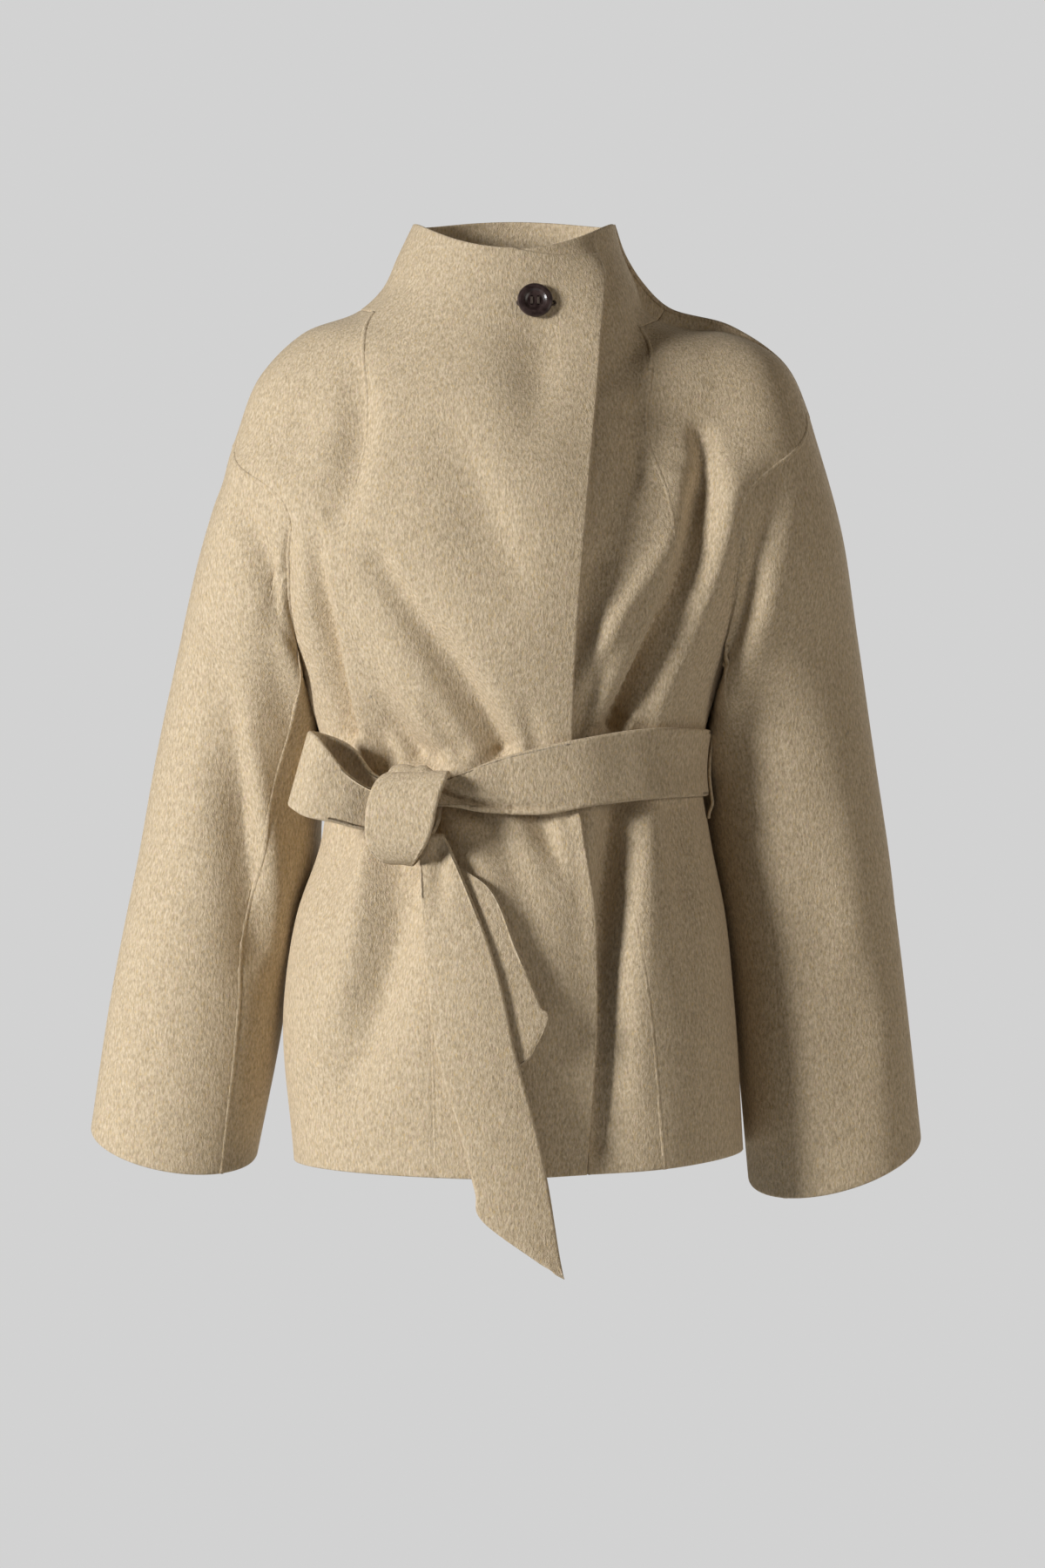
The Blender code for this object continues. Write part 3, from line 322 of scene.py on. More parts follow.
# The cloth as it was cut, in metres and square metres, and what each piece hangs from
Sheet = namedtuple("Sheet", "piece width length area held holder")
SHEETS = table_of(Sheet, [
    ("front_right", 0.205, 0.775, 0.118, "hung", "back_cloth"),
    ("side_front_right", 0.186, 0.72, 0.089, "hung", "back_cloth"),
    ("back", 0.571, 0.79, 0.320, "hung", "sleeve_right_top_cloth"),
    ("side_front_left", 0.178, 0.72, 0.079, "hung", "back_cloth"),
    ("front_left", 0.21, 0.79, 0.121, "hung", "back_cloth"),
    ("sleeve_right_top", 0.31, 0.60, 0.147, "hung", "back_cloth"),
    ("sleeve_right_under", 0.17, 0.42, 0.054, "hung", "sleeve_right_top_cloth"),
    ("sleeve_left_top", 0.32, 0.63, 0.157, "hung", "back_cloth"),
    ("sleeve_left_under", 0.175, 0.44, 0.057, "hung", "sleeve_left_top_cloth"),
    ("belt_band", 0.055, 0.80, 0.040, "stretched", "back_cloth"),
    ("belt_knot", 0.055, 0.17, 0.0085, "folded", "belt_band_cloth"),
    ("belt_bow_loop", 0.055, 0.17, 0.0083, "folded", "belt_knot_cloth"),
    ("belt_tail_long", 0.058, 0.335, 0.0171, "hung", "belt_knot_cloth"),
    ("belt_tail_short", 0.05, 0.17, 0.0067, "hung", "belt_knot_cloth"),
    ("belt_carrier_right", 0.011, 0.112, 0.0012, "stretched", "back_cloth"),
    ("belt_carrier_left", 0.011, 0.112, 0.0012, "stretched", "back_cloth"),
])

# The button's thread and its buttonhole
THREAD_HALF = 0.32
THREAD_STRANDS = (-0.6, 0.0, 0.6)
HOLE_OFFSET = 2.5  # of the button's four holes from its middle, each way
DISH_SHARE = 0.55  # of the button's thickness, at its dished middle
THREAD_RISE = 0.7
STRAND_STEPS = 9
STRAND_PAST, STRAND_SINK = 0.4, 0.3  # past a hole's middle, and into it
STRAND_POWER = 4
CORD_SIDES = 8
HOLE_FROM_X, HOLE_TO_X, HOLE_Z = 4.0, 33.0, -5.0
HOLE_HALF = 1.5
HOLE_STEPS = 28
HOLE_BEND = 0.05  # of the turn's cosine, below which the ring is at its middle
HOLE_CORD = (0.9, 0.6)  # half width and half height of the worked edge
HOLE_RISE = 0.3
NEAREST = 4  # points of the cloth that a place on it is read from

# The wool's look: its shader, its combed nap with single fibres, and its flecks
WOOL = {
    "Roughness": 0.92,
    "Specular IOR Level": 0.15,
    "Sheen Weight": 0.18,
    "Sheen Roughness": 0.5,
    "Sheen Tint": (1.0, 0.9, 0.75, 1),
}
NAP_LEAN, BELT_NAP_LEAN = 24, 70  # degrees, in front view
NAP_STRETCH = (1.0, 1.0, 0.42)
NAP_SCALE, FIBRE_SCALE = 620, 1500
NAP_NOISE = (3, 0.6)  # detail and roughness
NAP_COLOURS = [(0.28, (0.36, 0.278, 0.172)), (0.5, (0.55, 0.44, 0.29)), (0.72, (0.73, 0.605, 0.43))]
NAP_WEIGHT = 1.6  # of the nap's height against the fibres'
BUMP_STRENGTH, BUMP_DISTANCE = 0.55, 0.0011
Fleck = namedtuple("Fleck", "scale low high tint")
FLECKS = [
    Fleck(760, 0.56, 0.75, (0.62, 0.44, 0.19)),
    Fleck(690, 0.58, 0.78, (0.62, 0.44, 0.35)),
    Fleck(830, 0.58, 0.78, (0.36, 0.32, 0.27)),
]
FLECK_NOISE = (2, 0.5)
FLECK_MOST = (0.6, 0.6, 0.6)

# The button's dark horn-look resin and the dark twisted thread, both streaked
Streaked = namedtuple("Streaked", "name roughness scale detail stops")
RESIN = Streaked("horn_resin", 0.28, 240, 4, [(0.35, (0.022, 0.013, 0.012)), (0.75, (0.075, 0.05, 0.045))])
THREAD = Streaked("thread", 0.8, 2400, 2, [(0, (0.03, 0.02, 0.016)), (1, (0.12, 0.085, 0.06))])
STREAK_ROUGHNESS = 0.5

GROUPS = ("front_right side_front back front_left".split(), ["sleeve_right"], ["sleeve_left"])
BODY_PIECES = "front_right side_front_right back side_front_left front_left".split()

# The camera stands where the photograph was taken from, square to the coat's front
CAMERA_PLACE = (0.008, -3.2, -0.3706)
FRAME_HEIGHT = 1.224  # of the picture, at the coat's middle plane
SENSOR = 36.0
FLOOR_Z = -1.45
FLOOR_RADIUS = 2.0
FLOOR_SIDES = 96
FLOOR = {"Base Color": (0.72, 0.72, 0.71, 1), "Roughness": 0.8}
BACKDROP = 0.645
Light = namedtuple("Light", "name place size power colour")
LIGHTS = [
    Light("key", (-2.75, -1.85, 0.4), 0.9, 141, (0.985, 0.985, 1.0)),
    Light("fill", (3.1, -1.9, 0.3), 2.4, 36, (1.0, 0.92, 0.83)),
    Light("back", (1.6, 3.2, 0.8), 3.0, 70, (1, 1, 1)),
]
LIGHT_AIM = (0, 0, -0.35)


def smooth_curve(knots, values, at):
    """A cubic through the values at the knots, read at other places."""
    knots, values = np.asarray(knots, float), np.asarray(values, float)
    slopes = np.gradient(values, knots)
    span = np.clip(np.searchsorted(knots, at, side="right") - 1, 0, len(knots) - 2)
    step = knots[span + 1] - knots[span]
    u = (np.asarray(at, float) - knots[span]) / step
    rise = u * u * (3 - 2 * u)
    bend = u * (1 - u) * ((1 - u) * slopes[span] - u * slopes[span + 1])
    return values[span] * (1 - rise) + values[span + 1] * rise + step * bend


def smooth_step(low, high, value):
    share = np.clip((value - low) / (high - low), 0, 1)
    return share * share * (3 - 2 * share)


def along(points):
    """The running length at each of a row of points."""
    steps = np.linalg.norm(np.diff(np.asarray(points, float), axis=0), axis=1)
    return np.concatenate([[0], np.cumsum(steps)])


RING_RUN = along([(r.z_right, r.right, r.z_front, r.front) for r in RINGS])
RUN_OF = {r.name: run for r, run in zip(RINGS, RING_RUN)}
RUN_STEP, TURN_STEP = 0.1, 0.001  # steps along the surface, mm and radians, that its normal is read over


def ring_value(field, run):
    return smooth_curve(RING_RUN, [getattr(r, field) for r in RINGS], run)


def skin(run, angle):
    """The body's outer surface before folds. angle is from the front's middle, to the wearer's left."""
    level = {field: ring_value(field, run) for field in SKIN_FIELDS}
    side, ahead = np.sin(angle), np.cos(angle)
    power = 2 / level["square"]
    half = np.where(side < 0, level["right"], level["left"])
    depth = np.where(ahead > 0, level["front"], level["back"])
    side_z = np.where(side < 0, level["z_right"], level["z_left"])
    middle_z = np.where(ahead > 0, level["z_front"], level["z_back"])
    x = half * np.sign(side) * np.abs(side) ** power
    y = -depth * np.sign(ahead) * np.abs(ahead) ** power
    return np.stack([x, y, middle_z + (side_z - middle_z) * side**2], axis=-1)


def angle_at(run, x):
    """The angle on the front where the surface has this x."""
    half = np.where(x < 0, ring_value("right", run), ring_value("left", run))
    share = np.clip(np.abs(x) / half, 0, WIDEST_SHARE)
    return np.sign(x) * np.arcsin(share ** (ring_value("square", run) / 2))


def run_at(z):
    """The run of the section whose front is at this height."""
    return np.interp(z, [r.z_front for r in RINGS], RING_RUN)


def row_runs():
    """The runs of the grid's rows, and the row that each ring lies on."""
    runs, row_of = [], {}
    for k, ring in enumerate(RINGS):
        row_of[ring.name] = len(runs)
        stop = RING_RUN[min(k + 1, len(RINGS) - 1)]
        runs += list(np.linspace(RING_RUN[k], stop, max(ring.rows * FINE_ROWS, 1), endpoint=False))
    return np.array(runs), row_of


def spread(first, last, count):
    """Columns in count steps from first to last, without the last."""
    return first[:, None] + (last - first)[:, None] * np.arange(count) / count


def body_grid(runs):
    """The run, the angle and the lap outwards of each grid point, in rows and columns."""
    edge, seam_right, seam_left = (ring_value(f, runs) for f in ("edge", "seam_right", "seam_left"))
    arm = np.radians(ring_value("arm", runs))
    right_side = np.full_like(runs, -math.pi / 2)
    left_side = 3 * right_side
    outer_x = spread(edge, seam_right, FRONT_COLUMNS)
    under_x = outer_x[:, : LAPPED_COLUMNS + 1]
    front_x = np.concatenate([outer_x, spread(seam_left, edge, SHOWN_COLUMNS), under_x], axis=1)
    front_run = np.repeat(runs[:, None], front_x.shape[1], axis=1)
    outer_past = front_x[:, :FRONT_COLUMNS] / ring_value("left", runs)[:, None]
    under_past = -front_x[:, FRONT_COLUMNS:] / ring_value("right", runs)[:, None]
    past = np.clip(np.concatenate([outer_past, under_past], axis=1), 0, 1)
    collar = np.clip((runs - RUN_OF["neck"]) / (RUN_OF["rim"] - RUN_OF["neck"]), 0, 1)
    front_run -= RIM_DROP * collar[:, None] * past
    front = angle_at(front_run, front_x)
    seams = angle_at(runs, seam_right), angle_at(runs, seam_left) - 2 * math.pi
    sides = [
        spread(seams[0], right_side + arm, SIDE_COLUMNS),
        spread(right_side + arm, right_side, ARM_COLUMNS),
        spread(right_side, right_side - arm, ARM_COLUMNS),
        spread(right_side - arm, left_side + arm, BACK_COLUMNS),
        spread(left_side + arm, left_side, ARM_COLUMNS),
        spread(left_side, left_side - arm, ARM_COLUMNS),
        spread(left_side - arm, seams[1], SIDE_COLUMNS),
    ]
    angle = np.concatenate([front[:, :FRONT_COLUMNS], *sides, front[:, FRONT_COLUMNS:]], axis=1)
    run = np.repeat(runs[:, None], angle.shape[1], axis=1)
    run[:, :FRONT_COLUMNS] = front_run[:, :FRONT_COLUMNS]
    run[:, FRONT_COLUMNS - front.shape[1] :] = front_run[:, FRONT_COLUMNS:]
    column = np.arange(angle.shape[1])
    lap = LAP * (1 - smooth_step(LAPPED_COLUMNS, LAP_END_COLUMN, column))
    return run, angle, np.repeat(lap[None], len(runs), axis=0)


def unit(vectors):
    return vectors / np.maximum(np.linalg.norm(vectors, axis=-1, keepdims=True), 1e-9)


def vertex_normals(points, quads):
    a, b, c, d = (points[quads[:, k]] for k in range(4))
    face = np.cross(c - a, d - b)
    total = np.zeros_like(points)
    for k in range(4):
        np.add.at(total, quads[:, k], face)
    return unit(total)


def grid_quads(index):
    """Quads of a grid of point numbers, rows by columns."""
    return np.stack([index[:-1, :-1], index[1:, :-1], index[1:, 1:], index[:-1, 1:]], axis=-1)


def fold_shift(points, normals, where):
    """How far the folds of this part move its points outwards."""
    shift = np.zeros(len(points))
    u = np.linspace(0, 1, PATH_SAMPLES)
    mix = np.stack([2 * (u - 0.5) * (u - 1), -4 * u * (u - 1), 2 * u * (u - 0.5)], axis=1)
    for fold in FOLDS:
        if where not in fold.where.split():
            continue
        path = mix @ np.array(fold.path, float)
        off = points[:, None, (0, 2)] - path[None]
        distance = np.linalg.norm(off, axis=2)
        near = distance.argmin(axis=1)
        pick = np.arange(len(points))
        lean = off[pick, near, 0] / np.maximum(distance[pick, near], 1e-6)
        width = fold.minus_x + (fold.plus_x - fold.minus_x) * smooth_step(-SIDE_LEAN, SIDE_LEAN, lean)
        depth = np.interp(u, (0, 0.5, 1), fold.depth)[near]
        shift += depth * np.exp(-((distance[pick, near] / width) ** 2))
    ahead = normals[:, 1] if where == "back" else -normals[:, 1]
    return shift * smooth_step(*FACING, ahead)


def armhole_loop(index, rows, side, turn):
    """Point numbers round an armhole from its top, down the front, under the arm and up the back."""
    top, low = rows["shoulder"], rows["underarm"]
    front, back = side - turn * ARM_COLUMNS, side + turn * ARM_COLUMNS
    loop = [index[top, side - turn * k] for k in range(ARM_COLUMNS)]
    loop += [index[row, front] for row in range(top, low, -1)]
    loop += [index[low, front + turn * k] for k in range(2 * ARM_COLUMNS)]
    loop += [index[row, back] for row in range(low, top)]
    loop += [index[top, back - turn * k] for k in range(ARM_COLUMNS)]
    return np.array(loop)


def sleeve_rings(loop, stations):
    """A sleeve's rings of points below its armhole's loop, each ring's share, and the front seam's place."""
    half = len(loop) // 2
    seam_at = half - ARM_COLUMNS
    closed = np.append(np.arange(len(loop)), 0)
    length = along(loop[closed])
    start = np.concatenate([
        math.pi * length[:half] / length[half],
        math.pi + math.pi * (length[half:-1] - length[half]) / (length[-1] - length[half]),
    ])
    middles = [((s.outer_x + s.inner_x) / 2, (s.outer_z + s.inner_z) / 2) for s in stations]
    knots = along(middles)
    shares = np.linspace(0, 1, SLEEVE_ROWS + 1)

    def ring(share, turn):
        at = share * knots[-1]
        value = {f: smooth_curve(knots, [getattr(s, f) for s in stations], at) for f in STATION_FIELDS}
        outer = np.array([value["outer_x"], value["middle_y"], value["outer_z"]])
        inner = np.array([value["inner_x"], value["middle_y"], value["inner_z"]])
        middle = (outer + inner) / 2
        points = middle + np.cos(turn)[:, None] * (outer - middle)
        points[:, 1] -= value["half_depth"] * np.sin(turn)
        points[:, 2] -= value["dip"] * np.sin(turn)
        return points

    def turns(share):
        seam = math.radians(smooth_curve(knots, [s.seam for s in stations], share * knots[-1]))
        known = [0, start[seam_at], math.pi, start[len(loop) - seam_at], 2 * math.pi]
        wanted = [0, seam, math.pi, 2 * math.pi - seam, 2 * math.pi]
        return np.interp(start, known, wanted)

    spare = loop - ring(0.0, start)
    rings = [ring(s, turns(s)) + spare * max(0, 1 - s / LOOP_FADE) ** 2 for s in shares[1:]]
    return np.array(rings), shares[1:], seam_at


def armhole_angle(body, sleeve):
    """Where body and sleeve meet at a sharp angle, 1; where their seam lies flat, or elsewhere, 0."""
    both = (np.abs(body).sum(axis=1) > 0) & (np.abs(sleeve).sum(axis=1) > 0)
    sharp = smooth_step(FLAT_SEAM, SHARP_SEAM, (body * sleeve).sum(axis=1))
    return np.where(both, sharp, 0)[:, None]


def coat_surface():
    """The coat's folded outer surface, the normals and quads of each cut piece, and its seam lines."""
    runs, rows = row_runs()
    run, angle, lap = body_grid(runs)
    points = skin(run, angle).reshape(-1, 3)
    index = np.arange(len(points)).reshape(angle.shape)
    quads = grid_quads(index)
    right_seam = FRONT_COLUMNS
    right_side = right_seam + SIDE_COLUMNS + ARM_COLUMNS
    left_side = right_side + 2 * ARM_COLUMNS + BACK_COLUMNS
    left_seam = left_side + ARM_COLUMNS + SIDE_COLUMNS
    piece = np.empty(quads.shape[:2], object)
    piece[:, :right_seam] = "front_right"
    piece[:, right_seam:right_side] = "side_front_right"
    piece[:, right_side:left_side] = "back"
    piece[:, left_side:left_seam] = "side_front_left"
    piece[:, left_seam:] = "front_left"
    piece[rows["neck"] :, right_seam:right_side] = "front_right"
    piece[rows["neck"] :, left_side:left_seam] = "front_left"
    for side in (right_side, left_side):
        piece[rows["underarm"] : rows["shoulder"], side - ARM_COLUMNS : side + ARM_COLUMNS] = ""
    pieces = {name: quads[piece == name] for name in BODY_PIECES}
    seams = {}
    for name, seam, side in (("right", right_seam, right_side), ("left", left_seam, left_side)):
        seams[f"princess_{name}"] = index[: rows["neck"] + 1, seam]
        seams[f"side_{name}"] = index[: rows["underarm"] + 1, side]
        seams[f"shoulder_{name}"] = index[rows["shoulder"] :, side]

    column = np.broadcast_to(np.arange(angle.shape[1]), angle.shape).reshape(-1)
    places = [
        (column <= right_side, "right", 1),
        (column > left_side, "left", 1),
        (column > angle.shape[1] - LAPPED_COLUMNS - 2, "right", UNDER_DEEPER),
        ((column > right_side) & (column <= left_side), "back", 1),
    ]
    fade = np.ones(len(points))
    sleeves = []
    lap = lap.reshape(-1)
    for name, stations, side, turn in (
        ("right", RIGHT_SLEEVE, right_side, 1),
        ("left", LEFT_SLEEVE, left_side, -1),
    ):
        loop = armhole_loop(index, rows, side, turn)
        rings, shares, seam_at = sleeve_rings(points[loop], stations)
        first = len(points)
        sleeves.append((first, loop, rings.shape[0]))
        numbers = np.arange(rings.shape[0] * rings.shape[1]).reshape(rings.shape[:2]) + first
        ring_index = np.concatenate([loop[None], numbers])
        ring_index = np.append(ring_index, ring_index[:, :1], axis=1)
        sleeve_quads = grid_quads(ring_index if turn > 0 else ring_index[:, ::-1])
        place = np.arange(len(loop))
        under = (place >= seam_at) & (place < len(loop) - seam_at)
        under = under if turn > 0 else under[::-1]
        pieces[f"sleeve_{name}_top"] = sleeve_quads[:, ~under].reshape(-1, 4)
        pieces[f"sleeve_{name}_under"] = sleeve_quads[:, under].reshape(-1, 4)
        seams[f"armhole_{name}"] = np.append(loop, loop[0])
        seams[f"sleeve_front_{name}"] = ring_index[:, seam_at]
        seams[f"sleeve_back_{name}"] = ring_index[:, len(loop) - seam_at]
        points = np.concatenate([points, rings.reshape(-1, 3)])
        lap = np.append(lap, np.zeros(rings.size // 3))
        fade = np.append(fade, np.repeat(smooth_step(0, SLEEVE_FOLD_FROM, shares), len(loop)))
        places.append((np.arange(len(points)) >= first, f"{name}_arm", 1))

    every = np.concatenate(list(pieces.values()))
    normals = vertex_normals(points, every)
    shift = lap
    for part, where, share in places:
        mask = np.append(part, np.zeros(len(points) - len(part), bool))
        shift[mask] += share * fade[mask] * fold_shift(points[mask], normals[mask], where)
    for first, loop, count in sleeves:
        sleeve = slice(first, first + count * len(loop))
        shift[sleeve] += (1 - fade[sleeve]) * np.tile(shift[loop], count)
    points = points + normals * shift[:, None]
    normals = vertex_normals(points, every)
    groups = [[name for name in pieces if name.startswith(tuple(group))] for group in GROUPS]
    own = [vertex_normals(points, np.concatenate([pieces[name] for name in group])) for group in groups]
    apart = [armhole_angle(own[0], other) for other in own[1:]]
    walls = {}
    for group, group_normals, share in zip(groups, own, [sum(apart), *apart]):
        mixed = unit(normals * (1 - share) + group_normals * share)
        walls.update({name: (mixed, pieces[name]) for name in group})
    return points, normals, walls, seams


def cut_edges(quads):
    """The sides of the quads that have no neighbour, in the quads' own direction."""
    sides = np.stack([quads, np.roll(quads, -1, axis=1)], axis=-1).reshape(-1, 2)
    present = set(map(tuple, sides))
    return np.array([s for s in map(tuple, sides) if s[::-1] not in present])


def into_piece(points, quads):
    """From each point, the direction to the middle of the quads round it."""
    towards = np.zeros_like(points)
    middles = points[quads].mean(axis=1)
    for k in range(4):
        np.add.at(towards, quads[:, k], middles - points[quads[:, k]])
    return unit(towards)


def make_piece(name, points, faces, material):
    """A smooth mesh piece, in place and riding on the coat's one body."""
    mesh = bpy.data.meshes.new(name)
    mesh.from_pydata((points * MM).tolist(), [], faces)
    mesh.materials.append(bpy.data.materials[material])
    mesh.shade_smooth()
    mesh.update()
    obj = bpy.data.objects.new(name, mesh)
    bpy.context.scene.collection.objects.link(obj)
    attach(obj, "root")
    return obj


def shell(name, points, normals, quads, thick, material):
    """A thin closed shell below these quads of a surface, with its cut edges rounded over."""
    used, local = np.unique(quads, return_inverse=True)
    quads = local.reshape(quads.shape)
    points, normals = points[used].copy(), normals[used]
    cut = cut_edges(quads)
    rim, place = np.unique(cut, return_inverse=True)
    place = place.reshape(cut.shape)
    own = vertex_normals(points, quads)[rim]
    inward = into_piece(points, quads)[rim]
    inward = unit(inward - (inward * own).sum(axis=1, keepdims=True) * own)
    points[rim] += inward * thick / 2
    count = len(points)
    layers = [points, points - normals * thick]
    loops = [rim]
    for step in range(1, EDGE_STEPS):
        turn = math.pi * step / EDGE_STEPS
        middle = points[rim] - normals[rim] * thick / 2
        loops.append(sum(len(layer) for layer in layers) + np.arange(len(rim)))
        layers.append(middle + thick / 2 * (math.cos(turn) * normals[rim] - math.sin(turn) * inward))
    loops.append(rim + count)
    faces = [quads, quads[:, ::-1] + count]
    for upper, lower in zip(loops, loops[1:]):
        first, second = upper[place], lower[place]
        faces.append(np.stack([first[:, 1], first[:, 0], second[:, 0], second[:, 1]], axis=1))
    return make_piece(name, np.concatenate(layers), np.concatenate(faces).tolist(), material)


def strip(name, points, thick, where, material, closed=False):
    """A shell from a grid of outer points, rows by columns, with the folds of that part."""
    index = np.arange(points.shape[0] * points.shape[1]).reshape(points.shape[:2])
    if closed:
        index = np.append(index, index[:1], axis=0)
    quads = grid_quads(index).reshape(-1, 4)
    flat = points.reshape(-1, 3)
    normals = vertex_normals(flat, quads)
    flat = flat + normals * fold_shift(flat, normals, where)[:, None]
    return shell(name, flat, vertex_normals(flat, quads), quads, thick, material)


def skin_normal(run, angle):
    up = skin(run + RUN_STEP, angle) - skin(run - RUN_STEP, angle)
    across = skin(run, angle + TURN_STEP) - skin(run, angle - TURN_STEP)
    return unit(np.cross(across, up))


def make_band():
    turns = np.linspace(BAND[0].turn, BAND[-1].turn, BAND_COLUMNS + 1)
    knots = [b.turn for b in BAND]
    middle = smooth_curve(knots, [b.middle_z for b in BAND], turns)
    half = smooth_curve(knots, [b.half for b in BAND], turns)
    share = np.linspace(-1, 1, BAND_ROWS + 1)
    z = middle[:, None] + half[:, None] * share
    run = run_at(z)
    angle = np.radians(turns)[:, None] + 0 * z
    base = skin(run, angle)
    edge = ring_value("edge", run)
    past_edge = 1 - smooth_step(edge, edge + BAND_REST, base[..., 0])
    before_lap = smooth_step(LAP_FROM_X - BAND_REST, LAP_FROM_X, base[..., 0])
    near_start = (turns <= BAND_BACK[0])[:, None]
    near_end = (turns >= BAND_BACK[1])[:, None]
    over = near_start * past_edge + near_end * before_lap
    out = BELT_GAP + BELT_THICK + LAP * over
    grid = base + skin_normal(run, angle) * out[..., None]
    return strip("belt_band_cloth", grid, BELT_THICK, "band", "belt_wool")


def make_carrier(name, side):
    z = np.linspace(CARRIER_FOOT, CARRIER_TOP, CARRIER_ROWS + 1)
    lifted = smooth_step(CARRIER_FOOT, CARRIER_FOOT + CARRIER_RAMP, z)
    lifted = lifted * smooth_step(CARRIER_TOP, CARRIER_TOP - CARRIER_RAMP, z)
    out = CARRIER_GAP + CLOTH + (BELT_GAP + BELT_THICK) * lifted
    run = run_at(z)[:, None]
    turn = CARRIER_WIDTH / 2 / ring_value("front", run)
    angle = side * math.pi / 2 + turn * np.linspace(-1, 1, CARRIER_COLUMNS + 1)
    run = run + 0 * angle
    grid = skin(run, angle) + skin_normal(run, angle) * out[:, None, None]
    return strip(name, grid[::-1], CLOTH, "carrier", "brushed_wool")


def strip_grid(first, second, rows):
    """Points between a strip's two edges, and the lengths along it of the edges' stops and of the rows."""
    first, second = np.array(first, float), np.array(second, float)
    knots = along((first + second) / 2)
    at = np.linspace(0, knots[-1], rows + 1)
    lines = [np.stack([smooth_curve(knots, way, at) for way in e.T], axis=1) for e in (first, second)]
    share = STRIP_SHARE[:, None]
    return lines[0][:, None] * (1 - share) + lines[1][:, None] * share, knots, at


def make_loop():
    low = [(s.low_x, s.low_y, s.low_z) for s in LOOP]
    high = [(s.high_x, s.high_y, s.high_z) for s in LOOP]
    grid, _, _ = strip_grid(low, high, LOOP_ROWS)
    return strip("belt_bow_loop_cloth", grid, BELT_THICK, "loop", "belt_wool")


def make_tail(name, stops, where):
    left = [(s.left_x, s.left_z) for s in stops]
    right = [(s.right_x, s.right_z) for s in stops]
    grid, knots, at = strip_grid(left, right, TAIL_ROWS)
    lift = smooth_curve(knots, [s.lift for s in stops], at)
    x, z = grid[..., 0], grid[..., 1]
    run = run_at(np.maximum(z, RINGS[0].z_front))
    y = skin(run, angle_at(run, x))[..., 1] - LAP - BELT_THICK - lift[:, None]
    y = y - TAIL_BOW * np.sin(math.pi * STRIP_SHARE)
    return strip(name, np.stack([x, y, z], axis=-1), BELT_THICK, where, "belt_wool")


def make_knot():
    """The belt's last turn, a short wide tube that the band, the loop and the tails go into."""
    turns = np.linspace(-180, 180, KNOT_ROWS + 1)
    knots = [k.turn for k in KNOT]
    left = smooth_curve(knots, [k.left_x for k in KNOT], turns)
    right = smooth_curve(knots, [k.right_x for k in KNOT], turns)
    x = left[:, None] * (1 - STRIP_SHARE) + right[:, None] * STRIP_SHARE
    ahead, up = np.cos(np.radians(turns)), np.sin(np.radians(turns))
    power = 2 / KNOT_POWER
    y = KNOT_Y - KNOT_OUT * np.sign(ahead) * np.abs(ahead) ** power
    z = KNOT_Z + KNOT_UP * np.sign(up) * np.abs(up) ** power
    y = y[:, None] - KNOT_LEAN * (x - KNOT_MIDDLE_X)
    grid = np.stack([x, y, z[:, None] + 0 * x], axis=-1)[:-1]
    return strip("belt_knot_cloth", grid, BELT_THICK, "knot", "belt_wool", closed=True)


def sweep(name, path, outward, half_width, half_height, sides, material, slot="wool", closed=False):
    """A cord of elliptic section along a path, wide along the surface and low away from it."""
    half_width = np.broadcast_to(half_width, len(path))[:, None]
    half_height = np.broadcast_to(half_height, len(path))[:, None]
    ahead = np.gradient(path, axis=0)
    if closed:
        ahead = np.roll(path, -1, axis=0) - np.roll(path, 1, axis=0)
    across = unit(np.cross(ahead, outward))
    turn = 2 * math.pi * np.arange(sides) / sides
    ring = (
        across[:, None] * (half_width * np.cos(turn))[:, :, None]
        + outward[:, None] * (half_height * np.sin(turn))[:, :, None]
    )
    points = (path[:, None] + ring).reshape(-1, 3)
    index = np.arange(len(points)).reshape(len(path), sides)
    if closed:
        index = np.append(index, index[:1], axis=0)
    index = np.append(index, index[:, :1], axis=1)
    faces = grid_quads(index).reshape(-1, 4).tolist()
    if not closed:
        faces += [index[0, :-1].tolist(), index[-1, :-1][::-1].tolist()]
    return make_piece(name, points, faces, material)


def on_cloth(x, z):
    """The outer front's surface and its normal at this place in front view."""
    outer = np.unique(coat_walls["front_right"][1])
    off = coat_points[outer][:, (0, 2)] - (x, z)
    near = outer[np.argsort((off**2).sum(axis=1))[:NEAREST]]
    return coat_points[near].mean(axis=0), unit(coat_normals[near].mean(axis=0))


def make_buttonhole():
    """The worked edge of the slit that the button goes through, a long ring of thread on the cloth."""
    turn = 2 * math.pi * np.arange(HOLE_STEPS) / HOLE_STEPS
    ahead = np.cos(turn)
    middle, half = (HOLE_FROM_X + HOLE_TO_X) / 2, (HOLE_TO_X - HOLE_FROM_X) / 2
    straight = np.sign(ahead) * (half - HOLE_HALF) * (np.abs(ahead) > HOLE_BEND)
    x = middle + straight + HOLE_HALF * ahead
    z = HOLE_Z + HOLE_HALF * np.sin(turn)
    places = [on_cloth(a, b) for a, b in zip(x, z)]
    outward = np.stack([normal for _, normal in places])
    path = np.stack([(a, point[1], b) for (point, _), a, b in zip(places, x, z)]) + HOLE_RISE * outward
    return sweep("buttonhole", path, outward, *HOLE_CORD, CORD_SIDES, "thread", closed=True)


